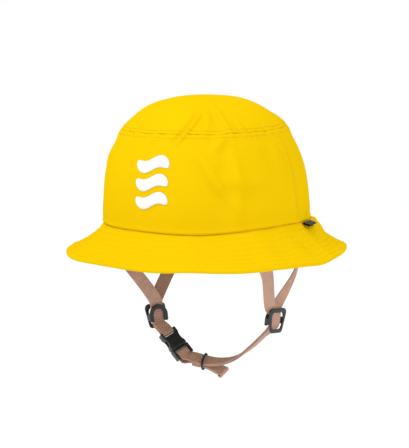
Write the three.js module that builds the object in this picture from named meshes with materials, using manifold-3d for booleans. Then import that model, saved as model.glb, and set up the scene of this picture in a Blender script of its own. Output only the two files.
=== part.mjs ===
// Water-sports helmet: a hard shell with a foam liner and comfort pads, under a sewn
// bucket-hat cover with a wide brim, held by a webbing harness with a side-release buckle.
// Millimetres, +Z up, +X to the wearer's left, -Y to the front. The origin is the centre of
// the head opening, in the plane where the brim is sewn to the crown.
import * as THREE from 'three';
import { mergeVertices } from 'three/addons/utils/BufferGeometryUtils.js';
import Module from 'manifold-3d';

const wasm = await Module();
wasm.setup();

// ---- Driving dimensions --------------------------------------------------------------
const CROWN_RADIUS = 109.5; // half the crown's width at the brim seam
const CROWN_HEIGHT = 137;
const CROWN_FULLNESS = 2.6; // how square the crown's shoulder is
const CROWN_LEAN = 9; // how far the crown's top sits forward
const LEAN_HEIGHT = 104;
const HEAD_LENGTHENING = 20; // how much longer than wide the head shape is
const HEAD_BLEND = 40;
const TOP_SEAM_HEIGHT = 103;
const COVER_THICKNESS = 1.6;
const SHELL_OFFSET = 2.0;
const SHELL_THICKNESS = 2.6;
const LINER_OFFSET = 5.0;
const LINER_THICKNESS = 20;
const PAD_OFFSET = 25.4;
const PAD_THICKNESS = 8;
const SHELL_RIM = -16; // how far the hard shell reaches below the brim seam
const LINER_RIM = -8;
const GAP = 0.3;
const BRIM_EDGE_RADIUS = 148;
const BRIM_DROP = 32;
const BRIM_CLOTH = 0.8;
const BRIM_STIFFENER = 1.6;
const WEBBING_WIDTH = 15;
const WEBBING_THICKNESS = 1.3;
const LAYER_GAP = 0.35; // air between two layers of webbing
const ROUND_STEPS = 36;
const CROWN_STEPS = 6;

const COLOURS = {
  cover: [0xf3c707, 0.75, 0],
  underbrim: [0xd9ae10, 0.8, 0],
  stiffener: [0xe8e4d6, 0.7, 0],
  emblem: [0xf5f2e8, 0.6, 0],
  tag: [0x16181a, 0.8, 0],
  shell: [0xe9e9e6, 0.35, 0],
  liner: [0x35383b, 0.9, 0],
  pad: [0x1e2022, 0.95, 0],
  webbing: [0xc59f8b, 0.85, 0],
  plastic: [0x1d2223, 0.45, 0],
  rivet: [0x9a9c9e, 0.3, 1],
};

const group = new THREE.Group();
group.name = 'water_helmet';

function addPart(name, geometry, look) {
  const [color, roughness, metalness] = COLOURS[look];
  const mesh = new THREE.Mesh(geometry, new THREE.MeshStandardMaterial({ color, roughness, metalness }));
  mesh.name = name;
  group.add(mesh);
  return mesh;
}

// ---- Joining and cutting -------------------------------------------------------------
function toSolid(geometry) {
  const bare = new THREE.BufferGeometry();
  bare.setAttribute('position', geometry.getAttribute('position').clone());
  if (geometry.index) bare.setIndex(geometry.index.clone());
  const merged = mergeVertices(bare, 1e-4);
  const index = [];
  for (let i = 0; i < merged.index.count; i += 3) {
    const [a, b, c] = [0, 1, 2].map((k) => merged.index.getX(i + k));
    if (a !== b && b !== c && c !== a) index.push(a, b, c);
  }
  const vertProperties = new Float32Array(merged.getAttribute('position').array);
  const build = (triangles) => new wasm.Manifold(
    new wasm.Mesh({ numProp: 3, vertProperties, triVerts: new Uint32Array(triangles) }));
  const solid = build(index);
  return solid.volume() > 0 ? solid : build(index.reverse()); // faces point outwards
}

function toGeometry(solid) {
  const mesh = solid.getMesh();
  const geometry = new THREE.BufferGeometry();
  geometry.setAttribute('position', new THREE.BufferAttribute(new Float32Array(mesh.vertProperties), 3));
  geometry.setIndex(new THREE.BufferAttribute(new Uint32Array(mesh.triVerts), 1));
  geometry.computeVertexNormals();
  return geometry;
}

function boxSolid(low, high) {
  const size = high.map((value, k) => value - low[k]);
  const box = new THREE.BoxGeometry(...size);
  box.translate(...low.map((value, k) => value + size[k] / 2));
  return toSolid(box);
}

const FAR = 400;
const frontHalf = () => boxSolid([-FAR, -FAR, -FAR], [FAR, -GAP / 2, FAR]);
const rearHalf = () => boxSolid([-FAR, GAP / 2, -FAR], [FAR, FAR, FAR]);

// ---- Head shape ----------------------------------------------------------------------
// Every layer is a ring of radius r at height z, made longer from front to back.
function headPoint(x, y, z) {
  const r = Math.hypot(x, y);
  const lengthening = 1 + HEAD_LENGTHENING / Math.hypot(r, HEAD_BLEND);
  return [x, y * lengthening - (CROWN_LEAN * Math.max(z, 0)) / LEAN_HEIGHT, z];
}

function shapeToHead(geometry) {
  const position = geometry.getAttribute('position');
  for (let i = 0; i < position.count; i++) {
    position.setXYZ(i, ...headPoint(position.getX(i), position.getY(i), position.getZ(i)));
  }
  return geometry;
}

function crownRadius(offset, z) {
  if (z <= 0) return CROWN_RADIUS - offset;
  const share = Math.min(1, (z / (CROWN_HEIGHT - offset)) ** CROWN_FULLNESS);
  return (CROWN_RADIUS - offset) * (1 - share) ** (1 / CROWN_FULLNESS);
}

// Points of one crown surface from zLow up to zHigh, or up to the axis where zHigh is Infinity.
function crownCurve(offset, zLow, zHigh, steps) {
  const top = Math.min(zHigh, CROWN_HEIGHT - offset);
  const points = zLow < 0 ? [[crownRadius(offset, zLow), zLow]] : [];
  const start = Math.max(zLow, 0);
  for (let i = 0; i <= steps; i++) {
    const z = start + (top - start) * Math.sin(((i / steps) * Math.PI) / 2);
    points.push([crownRadius(offset, z), z]);
  }
  if (zHigh === Infinity) points[points.length - 1][0] = 0;
  return points;
}

// A profile in radius and height, turned about Z and shaped to the head.
function turnedSolid(profile, steps = ROUND_STEPS) {
  const points = profile.map(([r, z]) => new THREE.Vector2(r, z));
  if (points.some((point) => point.x === 0)) {
    while (points[0].x !== 0 || points[points.length - 1].x !== 0) points.push(points.shift());
  } else {
    points.push(points[0].clone());
  }
  const lathe = new THREE.LatheGeometry(points, steps);
  lathe.rotateX(Math.PI / 2);
  return toSolid(shapeToHead(lathe));
}

function crownLayer(offset, thickness, zLow, zHigh, steps = CROWN_STEPS) {
  const outer = crownCurve(offset, zLow, zHigh, steps);
  const inner = crownCurve(offset + thickness, zLow, zHigh, steps);
  return turnedSolid([...outer, ...inner.reverse()]);
}

// ---- Crown cover: a top panel and two side panels --------------------------------------
const cover = crownLayer(0, COVER_THICKNESS, GAP, Infinity);
const aboveSeam = boxSolid([-FAR, -FAR, TOP_SEAM_HEIGHT + GAP / 2], [FAR, FAR, FAR]);
const belowSeam = boxSolid([-FAR, -FAR, -FAR], [FAR, FAR, TOP_SEAM_HEIGHT - GAP / 2]);
const sideBand = cover.intersect(belowSeam);
addPart('crown_top_panel', toGeometry(cover.intersect(aboveSeam)), 'cover');
addPart('side_panel_front', toGeometry(sideBand.intersect(frontHalf())), 'cover');
addPart('side_panel_rear', toGeometry(sideBand.intersect(rearHalf())), 'cover');

// ---- Brim: two cloth faces, each sewn from two halves, round a stiffener -----------------
const BRIM_START = CROWN_RADIUS - COVER_THICKNESS;
const BRIM_HOLLOW = 4; // how far the brim sags below a straight cone, as a felt brim flares
const BRIM_STEPS = 3;

// A point of the brim: share 0 at the crown, 1 at the edge, and depth measured downwards.
function brimPoint(share, depth) {
  const r = BRIM_START + (BRIM_EDGE_RADIUS - BRIM_START) * share;
  return [r, -BRIM_DROP * share - BRIM_HOLLOW * Math.sin(Math.PI * share) - depth];
}

function brimLayer(depth, thickness, reach) {
  const shares = Array.from({ length: BRIM_STEPS + 1 }, (_, i) => (reach * i) / BRIM_STEPS);
  const above = shares.map((share) => brimPoint(share, depth));
  const below = shares.map((share) => brimPoint(share, depth + thickness)).reverse();
  return turnedSolid([...above, ...below]);
}

const topCloth = brimLayer(0, BRIM_CLOTH, 1);
const stiffenerDepth = BRIM_CLOTH + GAP;
const stiffener = brimLayer(stiffenerDepth, BRIM_STIFFENER, 0.98);
const underCloth = brimLayer(stiffenerDepth + BRIM_STIFFENER + GAP, BRIM_CLOTH, 1);
addPart('brim_front_panel', toGeometry(topCloth.intersect(frontHalf())), 'cover');
addPart('brim_rear_panel', toGeometry(topCloth.intersect(rearHalf())), 'cover');
addPart('brim_stiffener', toGeometry(stiffener), 'stiffener');
addPart('underbrim_front_panel', toGeometry(underCloth.intersect(frontHalf())), 'underbrim');
addPart('underbrim_rear_panel', toGeometry(underCloth.intersect(rearHalf())), 'underbrim');

// ---- Hard shell, foam liner and comfort pads ---------------------------------------------
let shell = crownLayer(SHELL_OFFSET, SHELL_THICKNESS, SHELL_RIM, Infinity);
addPart('impact_liner', toGeometry(crownLayer(LINER_OFFSET, LINER_THICKNESS, LINER_RIM, Infinity)), 'liner');

// A pad is the piece of an inner crown layer that lies inside a cutting solid.
const PAD_LOW = -4;
const PAD_HIGH = 42;
const PAD_TOP_RADIUS = 34;
const padLayer = crownLayer(PAD_OFFSET, PAD_THICKNESS, PAD_LOW, Infinity);
const PAD_BOXES = {
  brow_pad: [[-50, -FAR, -FAR], [50, -40, PAD_HIGH]],
  nape_pad: [[-42, 40, -FAR], [42, FAR, PAD_HIGH]],
  left_side_pad: [[40, -42, -FAR], [FAR, 46, PAD_HIGH]],
  right_side_pad: [[-FAR, -42, -FAR], [-40, 46, PAD_HIGH]],
};
for (const [name, [low, high]] of Object.entries(PAD_BOXES)) {
  addPart(name, toGeometry(padLayer.intersect(boxSolid(low, high))), 'pad');
}
const padCore = new THREE.CylinderGeometry(PAD_TOP_RADIUS, PAD_TOP_RADIUS, CROWN_HEIGHT, 28);
padCore.rotateX(Math.PI / 2);
padCore.translate(0, -CROWN_LEAN, CROWN_HEIGHT);
addPart('crown_pad', toGeometry(padLayer.intersect(toSolid(padCore))), 'pad');

// ---- Emblem: three raised wave bars on the front of the crown ----------------------------
const EMBLEM_WIDTH = 38;
const EMBLEM_SPACING = 19;
const EMBLEM_CENTRE_HEIGHT = 53;
const EMBLEM_RAISE = 1.2;
const EMBLEM_LIFT = 0.8;
const WAVE_HALF_HEIGHT = 5.2;
const WAVE_SWING = 4;
const WAVE_STEPS = 12;

function waveShape(height) {
  const edge = (direction) => Array.from({ length: WAVE_STEPS + 1 }, (_, i) => {
    const share = i / WAVE_STEPS - 0.5;
    const half = WAVE_HALF_HEIGHT * (1 - (2 * share) ** 4 * 0.55);
    const middle = height + WAVE_SWING * Math.sin(2 * Math.PI * share);
    return new THREE.Vector2(share * EMBLEM_WIDTH, middle + direction * half);
  });
  return new THREE.Shape([...edge(-1), ...edge(1).reverse()]);
}

function waveBar(height) {
  const bar = new THREE.ExtrudeGeometry(waveShape(height), { depth: EMBLEM_RAISE, bevelEnabled: false });
  const position = bar.getAttribute('position');
  for (let i = 0; i < position.count; i++) {
    const [x, z, lift] = [position.getX(i), position.getY(i), position.getZ(i)];
    const r = crownRadius(0, z) + EMBLEM_LIFT + lift;
    position.setXYZ(i, ...headPoint(x, -Math.sqrt(r * r - x * x), z));
  }
  return toGeometry(toSolid(bar));
}

['bottom', 'middle', 'top'].forEach((place, i) => {
  addPart(`emblem_wave_${place}`, waveBar(EMBLEM_CENTRE_HEIGHT + (i - 1) * EMBLEM_SPACING), 'emblem');
});

// ---- Side tag, sewn into the brim seam at the wearer's left --------------------------------
const TAG = { reach: 8, length: 28, thickness: 1.6, turn: 0.183, facing: 0.157, tilt: 0.33, lift: -0.2 };
const tag = new THREE.BoxGeometry(TAG.reach, TAG.length, TAG.thickness);
tag.rotateY(TAG.tilt);
tag.rotateZ(TAG.facing);
const tagOut = CROWN_RADIUS + 4 * GAP + TAG.reach / 2;
tag.translate(...headPoint(tagOut * Math.cos(TAG.turn), tagOut * Math.sin(TAG.turn), TAG.lift));
addPart('side_tag', toGeometry(toSolid(tag)), 'tag');

// ---- Webbing: a flat strap swept through stations that give its place and width direction ----
const vector = (xyz) => new THREE.Vector3(...xyz);
const LAYER = (WEBBING_THICKNESS + LAYER_GAP) / 2; // half the spacing of two layers

// Stations are [place, width direction, distance of this layer from the middle of the stack];
// face says which side of the middle the layer lies on.
function webbing(stations, { steps = 12, face = 0, thickness = WEBBING_THICKNESS } = {}) {
  const curve = new THREE.CatmullRomCurve3(stations.map(([at]) => vector(at)), false, 'centripetal');
  const corners = [];
  for (let i = 0; i <= steps; i++) {
    const along = (i / steps) * (stations.length - 1);
    const first = Math.min(Math.floor(along), stations.length - 2);
    const across = vector(stations[first][1]).lerp(vector(stations[first + 1][1]), along - first);
    const apart = [first, first + 1].map((k) => stations[k][2] ?? LAYER);
    const shift = face * THREE.MathUtils.lerp(...apart, along - first);
    const tangent = curve.getTangent(i / steps);
    across.addScaledVector(tangent, -across.dot(tangent)).normalize();
    const normal = tangent.clone().cross(across);
    const centre = curve.getPoint(i / steps).addScaledVector(normal, shift);
    for (const [a, n] of [[-1, -1], [1, -1], [1, 1], [-1, 1]]) {
      const corner = centre.clone().addScaledVector(across, (a * WEBBING_WIDTH) / 2);
      corners.push(...corner.addScaledVector(normal, (n * thickness) / 2).toArray());
    }
  }
  const index = [0, 1, 2, 0, 2, 3];
  for (let i = 0; i < steps; i++) {
    for (let k = 0; k < 4; k++) {
      const [a, b] = [4 * i + k, 4 * i + ((k + 1) % 4)];
      index.push(a, a + 4, b, b, a + 4, b + 4);
    }
  }
  const end = 4 * steps;
  index.push(end, end + 2, end + 1, end, end + 3, end + 2);
  const strap = new THREE.BufferGeometry();
  strap.setAttribute('position', new THREE.Float32BufferAttribute(corners, 3));
  strap.setIndex(index);
  return toSolid(strap);
}

// A frame of reference: x across, y along, z out of the face, placed at a point.
function placed(geometry, origin, along, out) {
  const y = vector(along).normalize();
  const x = y.clone().cross(vector(out)).normalize();
  const z = x.clone().cross(y);
  const turn = new THREE.Matrix4().makeBasis(x, y, z).setPosition(vector(origin));
  return toSolid(geometry.clone().applyMatrix4(turn));
}

// ---- Chin-strap harness ------------------------------------------------------------------
const ANCHOR = { width: 19, high: -8.6, low: -27, thickness: 2, slotTop: -17.6, slotLow: -21.4 };
const RIVET_HEIGHT = -12.5;
const RIVET = { shank: 2, head: 3.2, headThickness: 1 };
const FRONT_ANCHOR_TURN = -27; // degrees from the side, towards the front
const REAR_ANCHOR_TURN = 46;
const SHELL_TO_ANCHOR = 0.8; // room for the shell's curve behind the flat anchor plate
const ANCHOR_LIFT = -SHELL_THICKNESS - SHELL_TO_ANCHOR - ANCHOR.thickness;
const radians = THREE.MathUtils.degToRad;

// Place, outward and sideways directions of a point on the shell's rim.
function rimFrame(side, turn, lift, height) {
  const angle = radians(turn);
  const r = CROWN_RADIUS - SHELL_OFFSET + lift;
  const at = headPoint(r * Math.cos(angle), r * Math.sin(angle), height);
  const step = 0.01;
  const beside = headPoint(r * Math.cos(angle + step), r * Math.sin(angle + step), height);
  const sideways = vector(beside).sub(vector(at)).normalize();
  const mirrored = (v) => [side * v[0], v[1], v[2]];
  return {
    at: mirrored(at),
    sideways: mirrored(sideways.toArray()),
    out: mirrored([sideways.y, -sideways.x, 0]),
  };
}

function roundedRectangle(width, low, high, radius) {
  const shape = new THREE.Shape();
  const half = width / 2;
  shape.moveTo(-half + radius, low);
  shape.lineTo(half - radius, low);
  shape.absarc(half - radius, low + radius, radius, -Math.PI / 2, 0);
  shape.absarc(half - radius, high - radius, radius, 0, Math.PI / 2);
  shape.absarc(-half + radius, high - radius, radius, Math.PI / 2, Math.PI);
  shape.absarc(-half + radius, low + radius, radius, Math.PI, 1.5 * Math.PI);
  return shape;
}

function plate(shape, low, high, curveSegments = 4) {
  const solid = new THREE.ExtrudeGeometry(shape, { depth: high - low, bevelEnabled: false, curveSegments });
  solid.translate(0, 0, low);
  return solid;
}

function anchorPlate(frame) {
  const outline = roundedRectangle(ANCHOR.width, ANCHOR.low, ANCHOR.high, 2.5);
  const slot = roundedRectangle(WEBBING_WIDTH + 1, ANCHOR.slotLow, ANCHOR.slotTop, 0.5);
  outline.holes.push(slot, new THREE.Path().absarc(0, RIVET_HEIGHT, RIVET.shank + GAP, 0, 2 * Math.PI));
  const solid = toSolid(plate(outline, 0, ANCHOR.thickness, 3));
  return toGeometry(placed(toGeometry(solid), [frame.at[0], frame.at[1], 0], [0, 0, 1], frame.out));
}

// A rivet through the shell and the anchor plate: a shank with a head at each end.
function rivet(frame) {
  const inside = -GAP;
  const outside = ANCHOR.thickness + SHELL_TO_ANCHOR + SHELL_THICKNESS + 2 * GAP;
  const profile = [
    [0, inside - RIVET.headThickness], [RIVET.head, inside - RIVET.headThickness],
    [RIVET.head, inside], [RIVET.shank, inside], [RIVET.shank, outside],
    [RIVET.head, outside], [RIVET.head * 0.7, outside + RIVET.headThickness],
    [0, outside + RIVET.headThickness],
  ].map(([r, z]) => new THREE.Vector2(r, z));
  const turned = new THREE.LatheGeometry(profile, 8);
  turned.rotateX(Math.PI / 2);
  return placed(toGeometry(toSolid(turned)), [frame.at[0], frame.at[1], RIVET_HEIGHT], [0, 0, 1], frame.out);
}

function rivetHole(frame) {
  const hole = new THREE.CylinderGeometry(RIVET.shank + GAP, RIVET.shank + GAP, 8 * SHELL_THICKNESS, 8);
  hole.rotateX(Math.PI / 2);
  return placed(hole, [frame.at[0], frame.at[1], RIVET_HEIGHT], [0, 0, 1], frame.out);
}

// Each divider's centre, its upward direction and the direction its arch faces.
const DIVIDERS = {
  right: { side: -1, centre: [-75, 22.6, -116], up: [-0.12, 0, 1], out: [0.84, -0.54, 0] },
  left: { side: 1, centre: [71.5, 22.6, -110], up: [0.12, 0, 1], out: [-0.95, 0.31, 0] },
};
const DIVIDER = { width: 26, height: 28, foot: 12, bar: 4.2, plate: 2, clear: 2.4 };
const ARCH = { outer: 11.6, inner: 6.6, drop: -5.5, rise: 1 };

function shieldShape(inset) {
  const shape = new THREE.Shape();
  const [top, low] = [DIVIDER.height / 2 - inset, -DIVIDER.height / 2 + inset];
  const [wide, foot] = [DIVIDER.width / 2 - inset, DIVIDER.foot / 2 - inset / 2];
  shape.moveTo(-foot, low);
  shape.lineTo(foot, low);
  shape.quadraticCurveTo(foot + 3, low, foot + 4, low + 5);
  shape.lineTo(wide, top - 6);
  shape.quadraticCurveTo(wide, top, wide - 6, top);
  shape.lineTo(-wide + 6, top);
  shape.quadraticCurveTo(-wide, top, -wide, top - 6);
  shape.lineTo(-foot - 4, low + 5);
  shape.quadraticCurveTo(-foot - 3, low, -foot, low);
  return shape;
}

function archShape() {
  const shape = new THREE.Shape();
  shape.moveTo(ARCH.outer, ARCH.drop);
  shape.absarc(0, ARCH.rise, ARCH.outer, 0, Math.PI);
  shape.lineTo(-ARCH.outer, ARCH.drop);
  shape.lineTo(-ARCH.inner, ARCH.drop);
  shape.absarc(0, ARCH.rise, ARCH.inner, Math.PI, 0, true);
  shape.lineTo(ARCH.inner, ARCH.drop);
  return shape;
}

function dividerSolid() {
  const frame = shieldShape(0);
  frame.holes.push(shieldShape(DIVIDER.bar));
  const { clear, plate: thick } = DIVIDER;
  const back = toSolid(plate(frame, -clear - thick, -clear, 3));
  const arch = toSolid(plate(archShape(), clear, clear + thick, 6));
  const postWidth = ARCH.outer - WEBBING_WIDTH / 2 - 3 * GAP;
  const reach = clear + 0.6 * thick;
  let solid = back.add(arch);
  for (const side of [-1, 1]) {
    const edge = side * ARCH.outer;
    const inner = edge - side * postWidth;
    const low = [Math.min(edge, inner), ARCH.drop + 1, -reach];
    solid = solid.add(boxSolid(low, [Math.max(edge, inner), ARCH.rise + 2, reach]));
  }
  return toGeometry(solid);
}

for (const [name, { side, centre, up, out }] of Object.entries(DIVIDERS)) {
  addPart(`${name}_divider`, toGeometry(placed(dividerSolid(), centre, up, out)), 'plastic');
  for (const [place, turn] of [['front', FRONT_ANCHOR_TURN], ['rear', REAR_ANCHOR_TURN]]) {
    const frame = rimFrame(side, turn, ANCHOR_LIFT, 0);
    addPart(`${name}_${place}_anchor`, anchorPlate(frame), 'plastic');
    addPart(`${name}_${place}_rivet`, toGeometry(rivet(frame)), 'rivet');
    shell = shell.subtract(rivetHole(frame));
  }
}
addPart('outer_shell', toGeometry(shell), 'shell');

// ---- Side-release buckle -------------------------------------------------------------------
// Its own frame: y from the socket's bar towards the plug, x across the webbing, z outwards.
const BUCKLE = { start: [-63.5, 22.6, -133.5], along: [0.68, 0, -0.733], out: [0.6, -0.55, 0.56] };
const SOCKET = { length: 23, width: 21, waist: 18, height: 8.4, bar: 2.2, slot: 3.8 };
const CAVITY = { mouth: 16.6, hollow: 4.6, wall: 1.8 };
const SOCKET_BAR_HEIGHT = 3;
const WINDOW = { start: 9.5, end: 16.5 };
const PLUG = { start: 23.4, shoulder: 2.4, bar: 2, slot: 3, width: 22, opening: 17.4, height: 7.6 };
const PLUG_BAR_HEIGHT = 2.4;
const PRONG = { inner: 4.9, outer: 7.9, tip: 10.4, half: 1.9 };
const TONGUE = { half: 1.4, tip: 12 };

function socketSolid() {
  const { length, width, waist, height, bar, slot } = SOCKET;
  const outline = new THREE.Shape();
  const half = width / 2;
  outline.moveTo(-half, 1.5);
  outline.quadraticCurveTo(-half, 0, -half + 1.5, 0);
  outline.lineTo(half - 1.5, 0);
  outline.quadraticCurveTo(half, 0, half, 1.5);
  outline.lineTo(half, bar + slot + 1);
  outline.quadraticCurveTo(waist / 2, WINDOW.start, waist / 2, (WINDOW.start + WINDOW.end) / 2);
  outline.quadraticCurveTo(waist / 2, WINDOW.end, half, length - 4);
  outline.lineTo(half, length);
  outline.lineTo(-half, length);
  outline.lineTo(-half, length - 4);
  outline.quadraticCurveTo(-waist / 2, WINDOW.end, -waist / 2, (WINDOW.start + WINDOW.end) / 2);
  outline.quadraticCurveTo(-waist / 2, WINDOW.start, -half, bar + slot + 1);
  outline.holes.push(roundedRectangle(WEBBING_WIDTH + 1, bar, bar + slot, 0.5));
  const body = toSolid(plate(outline, -height / 2, height / 2, 3));
  const { mouth, hollow, wall } = CAVITY;
  const cavity = boxSolid([-mouth / 2, bar + slot + wall, -hollow / 2], [mouth / 2, length + 1, hollow / 2]);
  const windows = boxSolid([-width, WINDOW.start, -hollow / 2], [width, WINDOW.end, hollow / 2]);
  const barTop = (height - SOCKET_BAR_HEIGHT) / 2;
  const cuts = [[-height, -height / 2 + barTop], [height / 2 - barTop, height]].map(([low, high]) =>
    boxSolid([-width, -1, low], [width, bar + slot - 1, high]));
  return cuts.reduce((solid, cut) => solid.subtract(cut), body.subtract(cavity).subtract(windows));
}

// A deep-sided ladder: two rails joined by the shoulder and two thin bars, with a tongue.
function plugSolid() {
  const { start, shoulder, bar, slot, width, opening, height } = PLUG;
  const end = start + shoulder + 2 * (slot + bar);
  const outline = roundedRectangle(width, start, end, 2);
  for (const low of [start + shoulder, start + shoulder + slot + bar]) {
    outline.holes.push(roundedRectangle(opening, low, low + slot, 0.5));
  }
  const frame = toSolid(plate(outline, -height / 2, height / 2, 3));
  const inside = opening / 2;
  const recess = (low, high) => boxSolid([-inside, start + shoulder, low], [inside, end + 1, high]);
  const upper = recess(PLUG_BAR_HEIGHT / 2, height);
  const lower = recess(-height, -PLUG_BAR_HEIGHT / 2);
  const tongue = boxSolid([-TONGUE.half, TONGUE.tip, -TONGUE.half], [TONGUE.half, start + 1, TONGUE.half]);
  return frame.subtract(upper).subtract(lower).add(tongue);
}

// One sprung prong, from the plug's shoulder to its barb beside the socket's window.
function prongSolid(side) {
  const { inner, outer, tip, half } = PRONG;
  const root = PLUG.start - GAP;
  const outline = new THREE.Shape();
  outline.moveTo(inner, root);
  outline.lineTo(outer - 0.6, root);
  outline.lineTo(outer - 1, WINDOW.end + 0.6);
  outline.lineTo(outer, WINDOW.end - 0.6);
  outline.quadraticCurveTo(outer, tip + 1, inner + 1.6, tip);
  outline.quadraticCurveTo(inner, tip, inner + 0.4, tip + 3);
  const prong = plate(outline, -half, half, 3);
  if (side < 0) prong.rotateY(Math.PI);
  return toSolid(prong);
}

const inBuckle = (solid) => toGeometry(placed(toGeometry(solid), BUCKLE.start, BUCKLE.along, BUCKLE.out));
addPart('buckle_socket', inBuckle(socketSolid()), 'plastic');
addPart('buckle_plug', inBuckle(plugSolid()), 'plastic');
addPart('front_prong', inBuckle(prongSolid(1)), 'plastic');
addPart('rear_prong', inBuckle(prongSolid(-1)), 'plastic');

// ---- Webbing ---------------------------------------------------------------------------------
const offsetPoint = (at, direction, distance) =>
  vector(direction).normalize().multiplyScalar(distance).add(vector(at)).toArray();

// Where each upper strap passes below the brim, and its width direction there.
const PASSES = {
  right: { front: [[-84, -26, -54], [0.54, 0.84, 0.06]], rear: [[-77, 62, -62], [0.54, 0.84, 0.06]] },
  left: { front: [[83, -24, -54], [0.45, 0.89, 0]], rear: [[79, 68, -61], [0.31, 0.95, 0]] },
};
const FAN = { right: 0, left: 3 }; // how far the straps spread where they enter each divider
const OVER_BAR = ANCHOR.slotLow + GAP + WEBBING_THICKNESS;
const LOOP_TAIL = 9; // length of the sewn-back end behind each anchor
const SPLIT = 9; // height above a divider's centre where upper straps give way to lower ones

function upperStations(name, place, turn, layer) {
  const { side, centre, up, out } = DIVIDERS[name];
  const frame = rimFrame(side, turn, ANCHOR_LIFT + ANCHOR.thickness / 2, 0);
  const nearBar = (lift, height) => offsetPoint([frame.at[0], frame.at[1], height], frame.out, lift);
  const standOff = ANCHOR.thickness / 2 + GAP + WEBBING_THICKNESS / 2;
  const across = frame.sideways;
  const barEdge = ANCHOR.low - GAP;
  const dividerAcross = vector(up).cross(vector(out)).normalize();
  if (dividerAcross.dot(vector(across)) < 0) dividerAcross.negate();
  const flat = dividerAcross.toArray();
  const entry = offsetPoint(centre, up, DIVIDER.height / 2 + 1 + FAN[name]);
  const fan = place === 'front' ? -FAN[name] : FAN[name];
  const top = offsetPoint(offsetPoint(entry, out, layer * 1.3), flat, fan);
  return [
    [nearBar(-standOff, barEdge - LOOP_TAIL), across],
    [nearBar(-standOff, ANCHOR.slotLow - 2), across],
    [nearBar(-standOff, ANCHOR.slotLow + 0.6), across],
    [nearBar(0, OVER_BAR + 0.4), across],
    [nearBar(standOff, ANCHOR.slotLow + 0.6), across],
    [nearBar(standOff, barEdge - 3), across],
    PASSES[name][place],
    [top, flat],
    [offsetPoint(offsetPoint(centre, up, SPLIT + 3), out, layer), flat],
    [offsetPoint(offsetPoint(centre, up, SPLIT + GAP), out, layer), flat],
  ];
}

for (const name of ['right', 'left']) {
  const turns = { front: FRONT_ANCHOR_TURN, rear: REAR_ANCHOR_TURN };
  const { side } = DIVIDERS[name];
  for (const [place, layer] of [['front', -side * LAYER], ['rear', side * LAYER]]) {
    const stations = upperStations(name, place, turns[place], layer);
    addPart(`${name}_${place}_webbing`, toGeometry(webbing(stations, { steps: 28 })), 'webbing');
  }
}

// Below each divider the two straps run on as one doubled strap. On the wearer's right they
// reach the buckle's socket; on the left they cross under the chin to the plug.
const alongBuckle = (distance, lift = 0) =>
  offsetPoint(offsetPoint(BUCKLE.start, BUCKLE.along, distance), BUCKLE.out, lift);
// The webbing's width direction on a piece of hardware, always pointing to the rear.
function rearwards(along, out) {
  const across = vector(along).cross(vector(out)).normalize();
  return across.multiplyScalar(Math.sign(across.y)).toArray();
}
const buckleAcross = rearwards(BUCKLE.along, BUCKLE.out);
const overBar = (barHeight) => barHeight / 2 + GAP + WEBBING_THICKNESS / 2;

function rightLowerStations() {
  const { centre, up, out } = DIVIDERS.right;
  const flat = rearwards(up, out);
  const over = overBar(SOCKET_BAR_HEIGHT) + 0.2;
  return [
    [offsetPoint(centre, up, SPLIT - GAP), flat, LAYER],
    [offsetPoint(centre, up, -5), flat, LAYER],
    [offsetPoint(offsetPoint(centre, up, -9.5), out, 2.6), flat, LAYER],
    [alongBuckle(-4), buckleAcross, over * 0.7],
    [alongBuckle(SOCKET.bar / 2), buckleAcross, over],
    [alongBuckle(SOCKET.bar + 1), buckleAcross, over * 0.95],
    [alongBuckle(SOCKET.bar + 2.4), buckleAcross, LAYER * 1.4],
  ];
}
for (const [layer, face] of [['inner', 1], ['outer', -1]]) {
  const strap = webbing(rightLowerStations(), { steps: 16, face });
  addPart(`right_lower_webbing_${layer}`, toGeometry(strap), 'webbing');
}

const firstSlot = PLUG.start + PLUG.shoulder;
const lastBar = firstSlot + 1.5 * PLUG.bar + 2 * PLUG.slot;
const TWIST = [0.3, 0.78, 0.5]; // the webbing's width direction where it leaves the plug

// The main strap from the plug's outer bar, under the chin, up to the left divider.
function chinStations() {
  const { centre, up, out } = DIVIDERS.left;
  const flat = rearwards(up, out);
  const over = overBar(PLUG_BAR_HEIGHT) + 0.3;
  return [
    [alongBuckle(firstSlot + 0.8), buckleAcross, LAYER * 1.4],
    [alongBuckle(firstSlot + 2.6), buckleAcross, over],
    [alongBuckle(lastBar - 2), buckleAcross, over],
    [alongBuckle(lastBar + 2), buckleAcross, over + 1],
    [[-29, 22.6, -160.6], TWIST, LAYER * 1.6],
    [[-15.5, 22.6, -162.6], TWIST, LAYER],
    [[0, 22.6, -162.8], [0.15, 0.87, 0.35], LAYER],
    [[15, 22.6, -160], [0.1, 0.93, 0.28], LAYER],
    [[28, 22.6, -154], [0, 0.97, 0.2], LAYER],
    [[43, 22.6, -142.5], [0, 1, 0], LAYER],
    [[57, 22.6, -129.5], [0, 1, 0], LAYER],
    [offsetPoint(offsetPoint(centre, up, -9.5), out, 2.6), flat, LAYER],
    [offsetPoint(centre, up, -5), flat, LAYER],
    [offsetPoint(centre, up, SPLIT - GAP), flat, LAYER],
  ];
}
for (const [layer, face] of [['upper', 1], ['lower', -1]]) {
  addPart(`chin_webbing_${layer}`, toGeometry(webbing(chinStations(), { steps: 36, face })), 'webbing');
}

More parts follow.
